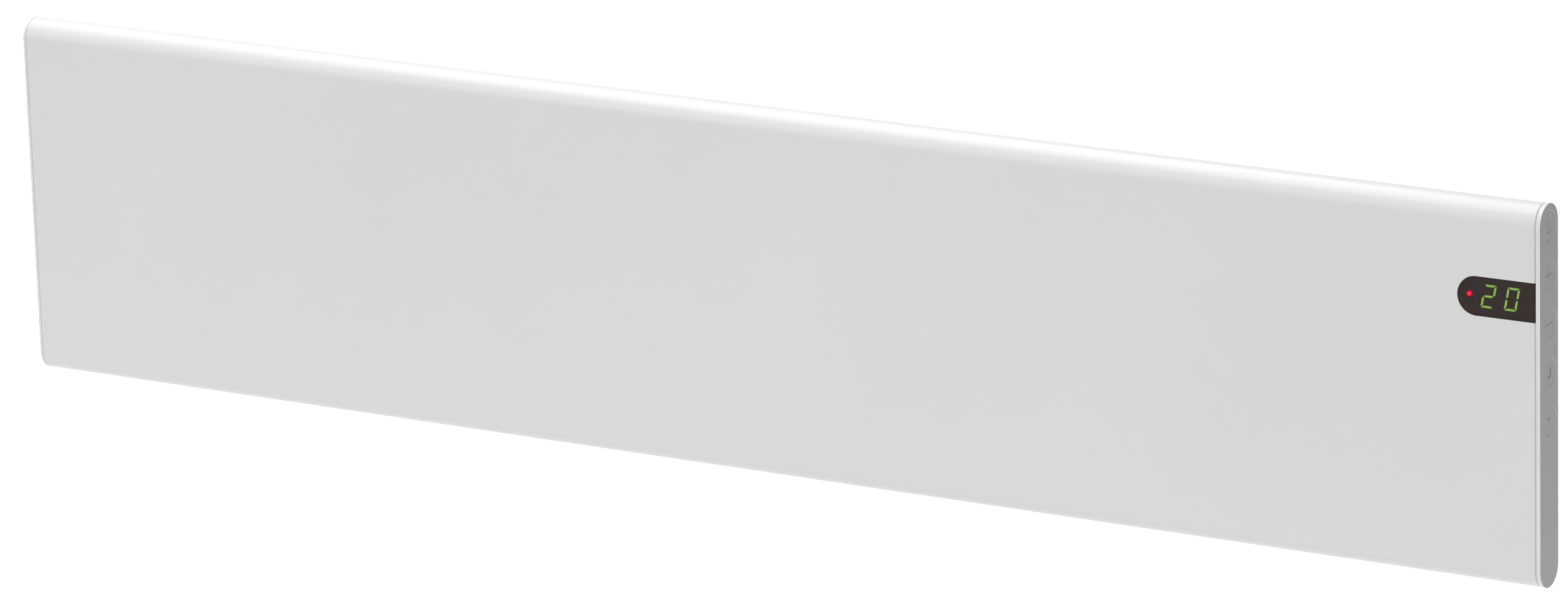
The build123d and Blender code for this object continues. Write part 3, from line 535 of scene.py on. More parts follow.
def metalMaterial(name, light, dark, roughness, stretch, depth, worn=None):
    kind = finish["metal"]
    material, tree, shader = newMaterial(name, Metallic=1.0)
    lines = placeGroup(tree, rolledLines, Stretch=stretch)
    colour = blendColours(tree, lines.outputs["Patch"], dark, light, *kind["noise"])
    if worn:
        colour = wearEdges(tree, colour, worn, kind["rub"])
    tree.links.new(colour, shader.inputs["Base Color"])
    roughFrom(tree, shader, lines.outputs["Streak"], *(roughness + stray for stray in kind["rough"]))
    bumpFrom(tree, shader, lines.outputs["Streak"], depth)
    return material


def zincMaterial():
    material, tree, shader = newMaterial("zincSheet", Metallic=1.0)
    crystals = placeGroup(tree, spangle, Size=zincCoat["crystalSize"])
    lines = placeGroup(tree, rolledLines, Stretch=zincCoat["stretch"])
    colour = blendColours(tree, crystals.outputs["Tone"], zincCoat["dark"], zincCoat["light"])
    colour = wearEdges(tree, colour, zincCoat["worn"], zincCoat["rub"])
    tree.links.new(colour, shader.inputs["Base Color"])
    roughFrom(tree, shader, crystals.outputs["Tone"], *zincCoat["rough"], 0.0, 1.0)
    bumpFrom(tree, shader, lines.outputs["Streak"], zincCoat["lineDepth"])
    return material


def boardMaterial():
    # solder mask with faint tracks under it
    material, tree, shader = newMaterial("circuitBoard", Specular_IOR_Level=0.5, Coat_Weight=0.4)
    tracks = addNode(tree, "ShaderNodeTexBrick", offset=0.37, squash=0.6, squash_frequency=3)
    tracks.inputs["Scale"].default_value = board["trackScale"]
    tracks.inputs["Mortar Size"].default_value = board["trackWidth"]
    tracks.inputs["Color1"].default_value = (0, 0, 0, 1)
    tracks.inputs["Color2"].default_value = (0, 0, 0, 1)
    tracks.inputs["Mortar"].default_value = (1, 1, 1, 1)
    turn = addNode(tree, "ShaderNodeMapping")
    turn.inputs["Rotation"].default_value = turns["Y"]
    readObject(tree, turn)
    tree.links.new(turn.outputs["Vector"], tracks.inputs["Vector"])
    grain = placeGroup(tree, mouldGrain, Size=board["grainSize"])
    colour = blendColours(tree, tracks.outputs["Fac"], board["plain"], board["track"])
    tree.links.new(colour, shader.inputs["Base Color"])
    roughFrom(tree, shader, grain.outputs["Mask"], *board["rough"])
    bumpFrom(tree, shader, tracks.outputs["Fac"], board["trackHeight"])
    return material


def lensMaterial():
    # smoked lens: mostly its own brown, thin enough to show the digits, and clear over the lamp
    material, tree, shader = newMaterial("smokedLens", Specular_IOR_Level=0.24)
    flat = addNode(tree, "ShaderNodeVectorMath", operation="MULTIPLY")
    flat.inputs[1].default_value = (1, 0, 1)
    away = addNode(tree, "ShaderNodeVectorMath", operation="DISTANCE")
    away.inputs[1].default_value = lens["clearMiddle"]
    readObject(tree, flat)
    tree.links.new(flat.outputs["Vector"], away.inputs[0])
    near, far = lens["clearRadius"] - lens["blur"], lens["clearRadius"] + lens["blur"]
    smoke = spanValue(tree, away.outputs["Value"], lens["clear"], lens["smoke"], near, far)
    tree.links.new(smoke, shader.inputs["Alpha"])
    grain = placeGroup(tree, mouldGrain, Size=lens["grainSize"])
    colour = blendColours(tree, grain.outputs["Mask"], *lens["browns"])
    tree.links.new(colour, shader.inputs["Base Color"])
    roughFrom(tree, shader, grain.outputs["Mask"], *lens["rough"])
    bumpFrom(tree, shader, grain.outputs["Height"], lens["grainDepth"])
    return material


def glowMaterial(name, body, strength, edge, glow, core):
    # a lit diffuser: bright in its middle and falling off towards its moulded edge
    material, tree, shader = newMaterial(name, Emission_Strength=strength, Roughness=0.35)
    grain = placeGroup(tree, mouldGrain, Size=glowing["grainSize"])
    falloff = addNode(tree, "ShaderNodeAttribute", attribute_name="glow").outputs["Fac"]
    shaded = tuple(glowing["bodyShade"] * part for part in body)
    colour = blendColours(tree, grain.outputs["Mask"], body, shaded)
    lit = blendColours(tree, falloff, edge, glow, *glowing["edgeSpan"])
    lit = blendColours(tree, falloff, lit, core, *glowing["coreSpan"])
    tree.links.new(colour, shader.inputs["Base Color"])
    tree.links.new(lit, shader.inputs["Emission Color"])
    bumpFrom(tree, shader, grain.outputs["Height"], glowing["grainDepth"])
    return material


def makeMaterials():
    return {
        "painted_sheet": paintedMaterial(
            "paintedSheet", (0.670, 0.675, 0.669), (0.655, 0.660, 0.654),
            roughness=0.36, size=900.0, depth=0.006 * mm,
        ),
        "casing_sheet": paintedMaterial(
            "casingSheet", (0.62, 0.62, 0.615), (0.58, 0.58, 0.575),
            roughness=0.5, size=700.0, depth=0.01 * mm, worn=(0.5, 0.5, 0.49),
        ),
        "zinc_sheet": zincMaterial(),
        "white_plastic": mouldedMaterial(
            "whitePlastic", (0.70, 0.705, 0.73), (0.68, 0.685, 0.71),
            roughness=0.38, size=2600.0, depth=0.008 * mm,
        ),
        # the grey's rim colour is a painted highlight on the eased edges of the button holes
        "grey_plastic": mouldedMaterial(
            "greyPlastic", (0.235, 0.237, 0.241), (0.220, 0.222, 0.226),
            roughness=0.36, size=2600.0, depth=0.01 * mm, rim=(0.42, 0.423, 0.43),
        ),
        "smoked_lens": lensMaterial(),
        "black_plastic": mouldedMaterial(
            "blackPlastic", (0.022, 0.022, 0.023), (0.014, 0.014, 0.015),
            roughness=0.45, size=2200.0, depth=0.012 * mm,
        ),
        "green_light": glowMaterial(
            "greenLight", (0.10, 0.16, 0.05), strength=4.6,
            edge=(0.02, 0.06, 0.0), glow=(0.45, 0.85, 0.10), core=(0.56, 1.0, 0.13),
        ),
        "red_light": glowMaterial(
            "redLight", (0.12, 0.003, 0.006), strength=1.9,
            edge=(0.09, 0.0, 0.003), glow=(0.45, 0.0, 0.02), core=(0.62, 0.006, 0.055),
        ),
        "circuit_board": boardMaterial(),
        "finned_aluminium": metalMaterial(
            "finnedAluminium", (0.74, 0.75, 0.76), (0.60, 0.61, 0.62),
            roughness=0.38, stretch=(30.0, 1800.0, 1800.0), depth=0.02 * mm,
        ),
        "rod_steel": metalMaterial(
            "rodSteel", (0.22, 0.19, 0.16), (0.12, 0.10, 0.09),
            roughness=0.5, stretch=(30.0, 1500.0, 1500.0), depth=0.02 * mm,
        ),
        "ceramic_bush": mouldedMaterial(
            "ceramicBush", (0.78, 0.74, 0.64), (0.68, 0.63, 0.53),
            roughness=0.7, size=1500.0, depth=0.03 * mm, specular=0.3,
        ),
        "rubber_ring": mouldedMaterial(
            "rubberRing", (0.030, 0.030, 0.031), (0.018, 0.018, 0.018),
            roughness=0.75, size=1800.0, depth=0.02 * mm, specular=0.3, sheen=0.1,
        ),
        "lead_sheath": mouldedMaterial(
            "leadSheath", (0.55, 0.53, 0.48), (0.47, 0.45, 0.41),
            roughness=0.55, size=1200.0, depth=0.02 * mm, specular=0.4, sheen=0.1,
        ),
        "fastener_steel": metalMaterial(
            "fastenerSteel", (0.66, 0.67, 0.68), (0.50, 0.51, 0.53),
            roughness=0.3, stretch=(1500.0, 300.0, 1500.0), depth=0.01 * mm, worn=(0.8, 0.8, 0.81),
        ),
        "brass_stud": metalMaterial(
            "brassStud", (0.78, 0.56, 0.22), (0.62, 0.42, 0.15),
            roughness=0.3, stretch=(1200.0, 100.0, 1200.0), depth=0.01 * mm,
        ),
        "ivory_plastic": mouldedMaterial(
            "ivoryPlastic", (0.70, 0.64, 0.47), (0.64, 0.58, 0.42),
            roughness=0.5, size=2000.0, depth=0.01 * mm,
        ),
    }


materials = makeMaterials()
slotOf = {part["node"]: part["material_slot"] for part in frame["record"]["subparts"]}
bodies = frame["record"]["behaviour"]["bodies"]
bodyOf = {node: body for body, held in bodies.items() for node in held}
for name, node in nodes.items():
    for used in node.material_slots:
        used.material = materials[slotOf[name]]
print("materials on", len(nodes), "CAD nodes")

panelSheet = {
    "thickness": 1.2 * mm,
    "rollSteps": 40,
    "returnHeight": 9.6 * mm,
    "windowLip": 0.25 * mm,
    "leftEase": 0.3 * mm,
    "rightEase": 0.9 * mm,
    "leftOverrun": 0.3 * mm,  # past the CAD sheet's cut end, towards the left cap
    "windowRadius": 10.2 * mm,
    "windowInset": 32.4 * mm,
    "windowHeight": 50.8 * mm,
}


def makePanelSheet():
    low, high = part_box("front_panel")
    roll = (high.y - low.y) / 2
    thick = panelSheet["thickness"]
    low.x -= panelSheet["leftOverrun"]
    sheet = addBox("panelSheet", low, high)
    bevelEdges(sheet, runsAlongX, roll * tolerance["fullRound"], panelSheet["rollSteps"])
    mergeClose(sheet)
    pick(sheet, "FACE", lambda middle, normal: abs(normal.x) > tolerance["aligned"])
    bpy.ops.mesh.delete(type="FACE")
    # the rolls end in flat returns; the back between them is open
    returnEnd = high.z - roll - panelSheet["returnHeight"]
    for side in (-1, 1):
        bpy.ops.mesh.select_all(action="SELECT")
        bpy.ops.mesh.bisect(plane_co=(0, 0, side * returnEnd), plane_no=(0, 0, 1))

    def openBack(middle, normal):
        return normal.y > tolerance["aligned"] and abs(middle.z) < returnEnd

    pick(sheet, "FACE", openBack)
    bpy.ops.mesh.delete(type="FACE")
    toObjectMode()
    outwards(sheet)
    applied(sheet, "SOLIDIFY", thickness=thick, offset=-1.0, use_even_offset=True)
    # the display window's D-shaped notch
    radius, windowZ = panelSheet["windowRadius"], panelSheet["windowHeight"]
    windowX = high.x - panelSheet["windowInset"]
    notch = addRound("notchRound", (windowX, low.y, windowZ), radius, cutReach * thick, "Y", steps=96)
    halfCut = cutReach * thick / 2
    straight = addBox(
        "notchStraight",
        (windowX, low.y - halfCut, windowZ - radius),
        (high.x + thick, low.y + halfCut, windowZ + radius),
    )
    unite(notch, straight)
    cutAway(sheet, notch)

    def fromNotch(point):
        if point.x < windowX:
            return abs(math.hypot(point.x - windowX, point.z - windowZ) - radius)
        return abs(abs(point.z - windowZ) - radius)

    def onNotch(middle, along, a, b):
        return inPlane("y", low.y, a, b) and max(fromNotch(a), fromNotch(b)) < tolerance["curve"]

    bevelEdges(sheet, onNotch, panelSheet["windowLip"], steps=4)

    # the cut ends of the sheet are eased on the outside
    def outsideEdgesAt(endX):
        def test(middle, along, a, b):
            fromFlat = max(abs(middle.z) - (high.z - roll), 0)
            fromMiddle = math.hypot(middle.y - (low.y + roll), fromFlat)
            return inPlane("x", endX, a, b) and fromMiddle > roll - thick / 2

        return test

    bevelEdges(sheet, outsideEdgesAt(low.x), panelSheet["leftEase"], steps=4)
    bevelEdges(sheet, outsideEdgesAt(high.x), panelSheet["rightEase"], steps=6)
    seat(sheet, "heater", "painted_sheet", "front_panel", smoothAngle=30)
    print("front panel made,", len(sheet.data.polygons), "faces")


makePanelSheet()

endCaps = {
    "seam": 0.22 * mm,  # how much of the grey cover's edge shows beside the white rim
    "rimEase": 0.06 * mm,
    "rimBand": 0.1 * mm,
    "coverEase": 0.16 * mm,
    "roundSteps": 48,
    "tongueInset": 1.4 * mm,
    "tongueOverlap": 0.05 * mm,
    "holeEase": 0.26 * mm,
    "holeRadius": 7.8 * mm,
    # where the holes' eased edges get their painted highlight
    "highlightFrom": 0.001 * mm,  # below the cover's face
    "highlightReach": 1.1,  # in widths of the holes' eased edges
}


def makeRightCap():
    # the white rim runs on over the edge of the grey cover
    cap = mergedCopy("right_end_cap", "rightCap")
    low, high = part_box("right_end_cap")
    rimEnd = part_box("control_fascia")[1].x - endCaps["seam"]
    roll = (high.y - low.y) / 2

    def rimFace(middle, normal):
        return normal.x > tolerance["aligned"] and inPlane("x", high.x, middle)

    pick(cap, "FACE", rimFace)
    bpy.ops.transform.translate(value=(rimEnd - high.x, 0, 0))
    toObjectMode()

    def onRim(middle, along, a, b):
        fromMiddle = math.hypot(a.y - (low.y + roll), max(abs(a.z) - (high.z - roll), 0))
        return inPlane("x", rimEnd, a, b) and fromMiddle > roll - endCaps["rimBand"]

    bevelEdges(cap, onRim, endCaps["rimEase"], steps=2)
    seat(cap, "heater", "white_plastic", "right_end_cap")


def addPill(name, low, high):
    # a plate across X whose top and bottom are full rounds
    pill = addBox(name, low, high)
    bevelEdges(pill, runsAlongX, (high[1] - low[1]) / 2 * tolerance["fullRound"], endCaps["roundSteps"])
    mergeClose(pill)
    return pill


def makeFascia():
    # the grey cover over the cap's whole end, with a tongue in the cap and a hole for each button
    low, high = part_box("control_fascia")
    coverBack = high.x - endCaps["seam"]
    middleY = (low.y + high.y) / 2
    inset = endCaps["tongueInset"]
    radius, ease = endCaps["holeRadius"], endCaps["holeEase"]
    plate = addPill("fasciaPlate", (coverBack, low.y, low.z), (high.x, high.y, high.z))
    tongue = addPill(
        "tongue",
        (low.x, low.y + inset, low.z + inset),
        (coverBack + endCaps["tongueOverlap"], high.y - inset, high.z - inset),
    )
    unite(plate, tongue)
    holeDepth = cutReach * (high.x - low.x)
    for z in buttonHeights:
        cutAway(plate, addRound("hole", (high.x, middleY, z), radius, holeDepth, "X", steps=128))

    def fromHole(point):
        return min(abs(math.hypot(point.y - middleY, point.z - z) - radius) for z in buttonHeights)

    def onHole(middle, along, a, b):
        away = max(fromHole(a), fromHole(b), fromHole(middle))
        return inPlane("x", high.x, a, b) and away < tolerance["curve"]

    def onOutline(middle, along, a, b):
        return inPlane("x", high.x, a, b) and min(fromHole(a), fromHole(b)) > 2 * ease

    bevelEdges(plate, onHole, ease, steps=5)
    bevelEdges(plate, onOutline, endCaps["coverEase"], steps=4)
    # painted highlight: the holes' eased edges are marked, and the grey material paints them paler in
    # place of the light that catches them
    highlightMask = plate.data.attributes.new("rim", "FLOAT", "POINT")
    reach = endCaps["highlightReach"] * ease
    for index, vertex in enumerate(plate.data.vertices):
        inEase = endCaps["highlightFrom"] < high.x - vertex.co.x < reach
        highlightMask.data[index].value = float(inEase and fromHole(vertex.co) < reach)
    seat(plate, "heater", "grey_plastic", "control_fascia")


buttonNames = ["power_button", "warmer_button", "cooler_button", "night_button", "boost_button"]
buttonHeights = []
for name in buttonNames:
    low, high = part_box(name)
    buttonHeights.append((low.z + high.z) / 2)
makeRightCap()
makeFascia()
print("end caps and fascia made")

# the buttons' heads nearly fill their holes, and each has a sign engraved in it
buttonSigns = {
    "reach": 4.6 * mm,  # half the height of the largest sign
    "stroke": 0.38 * mm,  # half the width of a groove
    "depth": 0.28 * mm,
    "ringSteps": 64,
    "strokeSteps": 24,
    "headRadius": 7.76 * mm,
    "headEase": 0.06 * mm,
    "headRise": 0.34 * mm,  # how far the head's face stands out of the CAD button's
    "headDepth": 2.2 * mm,
}
signShapes = {  # across and up from the button's middle, in shares of the reach
    "ringMiddle": (0, -0.18),
    "ringRadius": 0.56,
    "ringOpening": math.radians(38),  # to each side of its top
    "powerBar": ((0, 0.08), (0, 0.66)),
    "level": ((-0.9, 0), (0.9, 0)),
    "upright": ((0, -0.86), (0, 0.86)),
    "moonMiddle": (-0.1, 0),
    "moonRadius": 0.68,
    "biteShift": (-0.44, 0.08),  # in shares of the moon's radius
    "biteRadius": 0.88,
    "dotMiddle": (-0.38, 0.14),
    "dotSize": 1.3,  # in strokes
    "arrowTip": (0, 0.58),
    "arrowEnds": ((0, -0.64), (-0.42, 0.2), (0.42, 0.2)),
}


def flatten(piece, faceX):
    # a groove's section is a shallow half oval
    editAll(piece)
    squeeze = buttonSigns["depth"] / buttonSigns["stroke"]
    bpy.ops.transform.resize(value=(squeeze, 1, 1), center_override=(faceX, 0, 0))
    toObjectMode()


def addStroke(faceX, start, end):
    # a rounded bar from one (y, z) to another
    wide, steps = buttonSigns["stroke"], buttonSigns["strokeSteps"]
    a, b = Vector((faceX, *start)), Vector((faceX, *end))
    lean = math.atan2(b.y - a.y, b.z - a.z)
    clearSelection()
    bpy.ops.mesh.primitive_cylinder_add(
        vertices=steps, radius=wide, depth=(b - a).length, location=(a + b) / 2, rotation=(-lean, 0, 0)
    )
    bar = takePrimitive("bar")
    unite(bar, *[addBall("knob", place, wide, "Z", steps) for place in (a, b)])
    return bar


def addRing(faceX, middle, radius, opening):
    # a ring that is open at its top by this angle to each side
    clearSelection()
    bpy.ops.mesh.primitive_torus_add(
        major_segments=buttonSigns["ringSteps"],
        minor_segments=16,
        major_radius=radius,
        minor_radius=buttonSigns["stroke"],
        location=(faceX, *middle),
        rotation=turns["X"],
    )
    ring = takePrimitive("ring")

    def inGap(centre, normal):
        return abs(math.atan2(centre.y - middle[0], centre.z - middle[1])) < opening

    pick(ring, "FACE", inGap)
    bpy.ops.mesh.delete(type="FACE")
    bpy.ops.mesh.select_mode(type="EDGE")
    bpy.ops.mesh.select_all(action="SELECT")
    bpy.ops.mesh.select_non_manifold(extend=False)
    bpy.ops.mesh.fill_holes(sides=0)
    toObjectMode()
    return ring


def addCrescent(faceX, middle):
    # a waning moon, its horns towards the front
    radius = signShapes["moonRadius"] * buttonSigns["reach"]
    deep, steps = buttonSigns["stroke"], buttonSigns["ringSteps"]
    across, up = signShapes["biteShift"]
    biteMiddle = (faceX, middle[0] + across * radius, middle[1] + up * radius)
    moon = addRound("moon", (faceX, *middle), radius, 2 * deep, "X", steps)
    bite = addRound("bite", biteMiddle, signShapes["biteRadius"] * radius, cutReach * deep, "X", steps)
    cutAway(moon, bite)
    return moon


def signGrooves(name, faceX, y, z):
    # the cutters of one button's sign, in the heater's own Y and Z
    reach, shapes = buttonSigns["reach"], signShapes

    def at(place):
        return (y + place[0] * reach, z + place[1] * reach)

    def stroke(ends):
        return addStroke(faceX, at(ends[0]), at(ends[1]))

    if name == "power_button":
        ringMiddle, radius = at(shapes["ringMiddle"]), shapes["ringRadius"] * reach
        return [addRing(faceX, ringMiddle, radius, shapes["ringOpening"]), stroke(shapes["powerBar"])]
    if name == "warmer_button":
        return [stroke(shapes["level"]), stroke(shapes["upright"])]
    if name == "cooler_button":
        return [stroke(shapes["level"])]
    if name == "night_button":
        size, steps = shapes["dotSize"] * buttonSigns["stroke"], buttonSigns["strokeSteps"]
        dot = addBall("dot", (faceX, *at(shapes["dotMiddle"])), size, "Z", steps)
        return [addCrescent(faceX, at(shapes["moonMiddle"])), dot]
    return [stroke((end, shapes["arrowTip"])) for end in shapes["arrowEnds"]]


def makeButton(name, z):
    low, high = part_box(name)
    y = (low.y + high.y) / 2
    button = mergedCopy(name, name.replace("_button", "Button"))
    # the head is drawn over again, out to its hole and with a crisp edge
    face = high.x + buttonSigns["headRise"]
    depth = buttonSigns["headDepth"]
    head = addRound("head", (face - depth / 2, y, z), buttonSigns["headRadius"], depth, "X", steps=128)

    def onFace(middle, along, a, b):
        return inPlane("x", face, a, b)

    bevelEdges(head, onFace, buttonSigns["headEase"], steps=2)
    unite(button, head)
    for groove in signGrooves(name, face, y, z):
        flatten(groove, face)
        outwards(groove)
        cutAway(button, groove)
    print(name, "has", len(button.data.polygons), "faces")
    seat(button, bodyOf[name], "grey_plastic", name, smoothAngle=40)


for name, height in zip(buttonNames, buttonHeights):
    makeButton(name, height)
print("buttons made")

display = {
    "segmentEdge": 0.26 * mm,
    "coreGlow": 1.0,  # the segments' edges stay at 0
    "maskDepth": 0.9 * mm,  # from the lens's front to the print behind it
    "maskThickness": 0.06 * mm,
    "maskInset": 0.8 * mm,
    "maskEndGap": 0.1 * mm,
    "maskCut": 1 * mm,
    "digitOpening": (12.9 * mm, 9.4 * mm),  # half sizes, round the middle of the digits
    "lampOpening": 3.1 * mm,
    "shroudRadius": 3.3 * mm,
    "shroudGap": 0.04 * mm,
    "shroudEase": 0.1 * mm,
    "shroudEnd": 3.4 * mm,  # short of the ends of the lamp's legs
}
redLamp = {
    "radius": 1.8 * mm,
    "hotSide": (0.6, -0.76, 0.33),  # the way the lamp's brightest part faces
    "bodyEnd": 3.2 * mm,  # short of the ends of its legs
    "flangeWidth": 0.4 * mm,
    "flangeThickness": 1.0 * mm,
    "legSpread": 1.27 * mm,
    "legHalf": 0.25 * mm,
    "legRoot": 0.9 * mm,  # behind the flange's front
}


def makeLitDigits():
    digits = mergedCopy("lit_segments", "litDigits")
    digits.data.attributes.new("glow", "FLOAT", "POINT")
    pick(digits, "FACE", lambda middle, normal: normal.y < -tolerance["aligned"])
    bpy.ops.mesh.inset(thickness=display["segmentEdge"], use_individual=True)
    toObjectMode()
    glow = digits.data.attributes["glow"]
    core = {index for face in digits.data.polygons if face.select for index in face.vertices}
    for index in core:
        glow.data[index].value = display["coreGlow"]
    seat(digits, "heater", "green_light", "lit_segments")


def makeRedLamp():
    # a round-nosed lamp whose dome glows from its middle outwards
    low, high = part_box("status_led")
    radius = redLamp["radius"]
    x, z = (low.x + high.x) / 2, (low.z + high.z) / 2
    middleY = low.y + radius
    lamp = addBall("redLamp", (x, middleY, z), radius, "Y", steps=48)
    editAll(lamp)
    bpy.ops.mesh.bisect(plane_co=(0, middleY, 0), plane_no=(0, 1, 0), clear_outer=True)
    # the body and its flange grow from the dome's open edge
    bodyEnd = high.y - redLamp["bodyEnd"]
    bpy.ops.mesh.select_mode(type="EDGE")
    bpy.ops.mesh.select_all(action="DESELECT")
    bpy.ops.mesh.select_non_manifold(extend=False)
    bpy.ops.mesh.extrude_edges_move(TRANSFORM_OT_translate={"value": (0, bodyEnd - middleY, 0)})
    bpy.ops.mesh.extrude_edges_move()
    flange = 1 + redLamp["flangeWidth"] / radius
    bpy.ops.transform.resize(value=(flange, 1, flange), center_override=(x, bodyEnd, z))
    step = (0, redLamp["flangeThickness"], 0)
    bpy.ops.mesh.extrude_edges_move(TRANSFORM_OT_translate={"value": step})
    bpy.ops.mesh.edge_face_add()
    toObjectMode()
    outwards(lamp)
    half, root = redLamp["legHalf"], bodyEnd + redLamp["legRoot"]
    legs = [
        addBox("leg", (legX - half, root, z - half), (legX + half, high.y, z + half))
        for legX in (x - redLamp["legSpread"], x + redLamp["legSpread"])
    ]
    lamp = joinAll([lamp, *legs], "redLamp")
    glow = lamp.data.attributes.new("glow", "FLOAT", "POINT")
    hot = Vector(redLamp["hotSide"]).normalized()
    for index, vertex in enumerate(lamp.data.vertices):
        fromMiddle = (vertex.co - Vector((x, middleY, z))) / radius
        glow.data[index].value = max(fromMiddle.dot(hot), 0.0)
    seat(lamp, "heater", "red_light", "status_led")


def makeDisplayMask():
    # black print on the lens's back, clear over the digits and the lamp
    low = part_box("display_window")[0]
    radius = panelSheet["windowRadius"] - display["maskInset"]
    windowZ = panelSheet["windowHeight"]
    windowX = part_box("front_panel")[1].x - panelSheet["windowInset"]
    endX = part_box("front_panel")[1].x - display["maskEndGap"]
    backY = low.y + display["maskDepth"]
    thick, cut = display["maskThickness"], display["maskCut"]
    mask = addRound("displayMask", (windowX, backY + thick, windowZ), radius, thick, "Y", steps=96)
    straight = addBox(
        "maskStraight",
        (windowX, backY + thick / 2, windowZ - radius),
        (endX, backY + 1.5 * thick, windowZ + radius),
    )
    unite(mask, straight)
    lampLow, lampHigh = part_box("status_led")
    digitLow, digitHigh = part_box("display_module")
    halfX, halfZ = display["digitOpening"]
    lampPlace = ((lampLow.x + lampHigh.x) / 2, backY, windowZ)
    digitX = (digitLow.x + digitHigh.x) / 2
    cutAway(
        mask,
        addRound("lampHole", lampPlace, display["lampOpening"], cut, "Y", steps=64),
        addBox(
            "digitHole",
            (digitX - halfX, backY - cut, windowZ - halfZ),
            (digitX + halfX, backY + cut, windowZ + halfZ),
        ),
    )
    seat(mask, "heater", "black_plastic")


def makeLampShroud():
    # a tube behind the lens that keeps the lamp's light off the digits
    low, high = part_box("status_led")
    x, z = (low.x + high.x) / 2, (low.z + high.z) / 2
    start = low.y + redLamp["radius"]
    end = high.y - display["shroudEnd"]
    length = end - start
    outer, inner = display["shroudRadius"], redLamp["radius"] + display["shroudGap"]
    shroud = addRound("lampShroud", (x, (start + end) / 2, z), outer, length, "Y", steps=48)
    cutAway(shroud, addRound("bore", (x, start, z), inner, cutReach * length, "Y", steps=48))

    def onFront(middle, along, a, b):
        return inPlane("y", start, a, b)

    bevelEdges(shroud, onFront, display["shroudEase"], steps=2)
    seat(shroud, "heater", "black_plastic")


makeLitDigits()
makeRedLamp()
makeDisplayMask()
makeLampShroud()
print("display made")

screwHead = {
    "radius": 3.2 * mm,
    "height": 1.8 * mm,
    "ease": 0.75 * mm,
    "slotWidth": 0.9 * mm,
    "slotDepth": 1.0 * mm,
    "slotReach": 0.58,  # in shares of the radius
    "shank": 1.6 * mm,
    "shankLength": 5 * mm,
}
rivetHead = {"radius": 3.6 * mm, "height": 1.2 * mm, "shank": 2 * mm}


def makeScrew():
    # a pan head with a cross recess, pointing to +Y from the origin, on a plain shank
    radius, top = screwHead["radius"], screwHead["height"]
    head = addRound("screw", (0, top / 2, 0), radius, top, "Y", steps=40)
    bevelEdges(head, lambda middle, along, a, b: inPlane("y", top, a, b), screwHead["ease"], steps=5)
    width, depth = screwHead["slotWidth"] / 2, screwHead["slotDepth"]
    reach = screwHead["slotReach"] * radius
    for halfX, halfZ in ((reach, width), (width, reach)):
        cutAway(head, addBox("recess", (-halfX, top - depth, -halfZ), (halfX, top + depth, halfZ)))
    length = screwHead["shankLength"]
    unite(head, addRound("shank", (0, -length / 2, 0), screwHead["shank"], length, "Y", steps=24))
    return head


def separateCentres(node):
    # the middle of each loose solid of a node, found from its vertices
    mergedCopy(node, "probe")
    bpy.ops.object.mode_set(mode="EDIT")
    bpy.ops.mesh.separate(type="LOOSE")
    toObjectMode()
    centres = []
    for part in [obj for obj in bpy.context.selected_objects if obj.type == "MESH"]:
        points = [vertex.co for vertex in part.data.vertices]
        spans = [[point.x for point in points], [point.z for point in points]]
        centres.append(tuple((min(span) + max(span)) / 2 for span in spans))
        bpy.data.objects.remove(part, do_unlink=True)
    return sorted(centres)


def placeCopies(master, node, base, label):
    # one copy of the master at each of the node's solids, joined
    placed = [
        copyTo(master, f"{label}{number}", (x, base, z))
        for number, (x, z) in enumerate(separateCentres(node))
    ]
    return joinAll(placed, label)


def makeScrews():
    master = makeScrew()
    for node, label in (("rear_casing_screws", "casingScrews"), ("end_cap_screws", "capScrews")):
        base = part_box(node)[1].y - screwHead["height"]
        group = placeCopies(master, node, base, label)
        seat(group, "heater", "fastener_steel", node, smoothAngle=30)
    bpy.data.objects.remove(master, do_unlink=True)


def makeRivets():
    low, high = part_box("bracket_rivets")
    radius, height = rivetHead["radius"], rivetHead["height"]
    dome = addBall("dome", (0, 0, 0), radius, "Y", steps=32)
    editAll(dome)
    bpy.ops.transform.resize(value=(1, height / radius, 1))
    bpy.ops.mesh.bisect(plane_co=(0, 0, 0), plane_no=(0, 1, 0), clear_outer=True, use_fill=True)
    toObjectMode()
    length = high.y - low.y - height
    shank = addRound("rivetShank", (0, length / 2, 0), rivetHead["shank"], length, "Y", steps=24)
    master = joinAll([dome, shank], "rivet")
    group = placeCopies(master, "bracket_rivets", low.y + height, "bracketRivets")
    bpy.data.objects.remove(master, do_unlink=True)
    outwards(group)
    seat(group, "wall_bracket", "fastener_steel", "bracket_rivets")


makeScrews()
makeRivets()
print("fasteners made")

studio = {
    "floorHeight": -0.55,
    "floorReach": 9.0,
    "floorColour": (0.74, 0.74, 0.735, 1.0),
    "floorWhite": 0.72,  # what the floor adds of its own where it is looked at
    "skyStrength": 0.155,
    "seenWhite": 1.0,
}
lamps = {  # place, aim, size and watts
    "key": ((3.6, -7.0, 2.2), (0.0, -0.08, 0.0), (3.0, 2.0), 150.0),
    "overhead": ((-0.2, -0.9, 2.4), (0.0, -0.05, 0.0), (3.2, 1.6), 45.0),
    "topLeft": ((-1.0, 0.45, 1.8), (-0.35, -0.05, 0.1), (1.2, 0.5), 14.2),
    "topBack": ((0.0, 0.5, 2.2), (0.0, -0.05, 0.1), (3.0, 0.5), 12.6),
    "front": ((-1.6, -3.2, 1.1), (0.0, -0.08, 0.0), (2.2, 1.6), 22.5),
    "below": ((0.0, -0.4, -0.5), (0.0, -0.08, -0.1), (2.2, 0.3), 1.55),
    "endLow": ((1.15, 0.1, -0.42), (0.457, -0.07, -0.1), (0.4, 0.3), 3.05),
}
cameraSetup = {
    "place": (2.10930, -3.63941, 1.21293),
    "turn": (73.562, 1.580, 29.944),  # degrees about X, Y and Z
    "lens": 188.62,  # millimetres, as the sensor's width
    "sensor": 36.0,
    "clipEnd": 50.0,
}


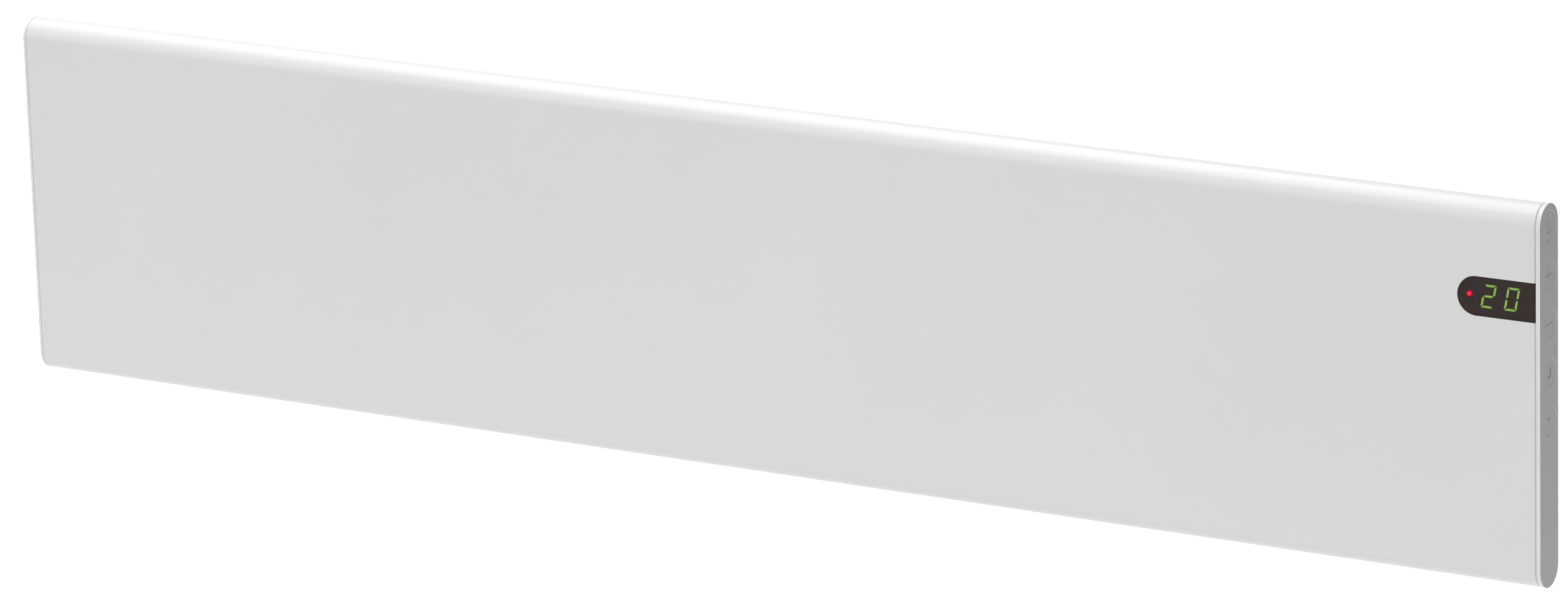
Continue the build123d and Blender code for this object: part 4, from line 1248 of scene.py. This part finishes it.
def whereSeen(tree, unseen, seen):
    # one strength for rays that look, reflect or pass through, and another for the light that falls
    rays = addNode(tree, "ShaderNodeLightPath").outputs
    looked = rays["Is Camera Ray"]
    for kind in ("Is Glossy Ray", "Is Transmission Ray"):
        either = addNode(tree, "ShaderNodeMath", operation="MAXIMUM")
        tree.links.new(looked, either.inputs[0])
        tree.links.new(rays[kind], either.inputs[1])
        looked = either.outputs[0]
    return spanValue(tree, looked, unseen, seen, 0.0, 1.0)


def makeFloor():
    clearSelection()
    place = (0, 0, studio["floorHeight"])
    bpy.ops.mesh.primitive_plane_add(size=2 * studio["floorReach"], location=place)
    floor = takePrimitive("floor")
    material, tree, shader = newMaterial("paleFloor", Base_Color=studio["floorColour"], Roughness=0.8)
    shader.inputs["Emission Color"].default_value = (1, 1, 1, 1)
    tree.links.new(whereSeen(tree, 0.0, studio["floorWhite"]), shader.inputs["Emission Strength"])
    floor.data.materials.append(material)


def makeSky():
    world = bpy.data.worlds.new("studioSky")
    bpy.context.scene.world = world
    world.use_nodes = True
    tree = world.node_tree
    background = tree.nodes["Background"]
    background.inputs["Color"].default_value = (1, 1, 1, 1)
    strength = whereSeen(tree, studio["skyStrength"], studio["seenWhite"])
    tree.links.new(strength, background.inputs["Strength"])


def addLamp(name, place, aim, size, watts):
    data = bpy.data.lights.new(name, "AREA")
    data.shape = "RECTANGLE"
    data.size, data.size_y = size
    data.energy = watts
    lamp = bpy.data.objects.new(name, data)
    bpy.context.scene.collection.objects.link(lamp)
    lamp.location = place
    lamp.rotation_euler = (Vector(aim) - Vector(place)).to_track_quat("-Z", "Y").to_euler()


def addCamera():
    data = bpy.data.cameras.new("photoCamera")
    data.sensor_fit = "HORIZONTAL"
    data.sensor_width = cameraSetup["sensor"]
    data.lens = cameraSetup["lens"]
    data.clip_end = cameraSetup["clipEnd"]
    camera = bpy.data.objects.new("photoCamera", data)
    bpy.context.scene.collection.objects.link(camera)
    camera.location = cameraSetup["place"]
    camera.rotation_euler = [math.radians(angle) for angle in cameraSetup["turn"]]
    bpy.context.scene.camera = camera


makeFloor()
makeSky()
for name, setup in lamps.items():
    addLamp(name, *setup)
addCamera()
bpy.context.scene.view_settings.view_transform = "Standard"
print("studio made")
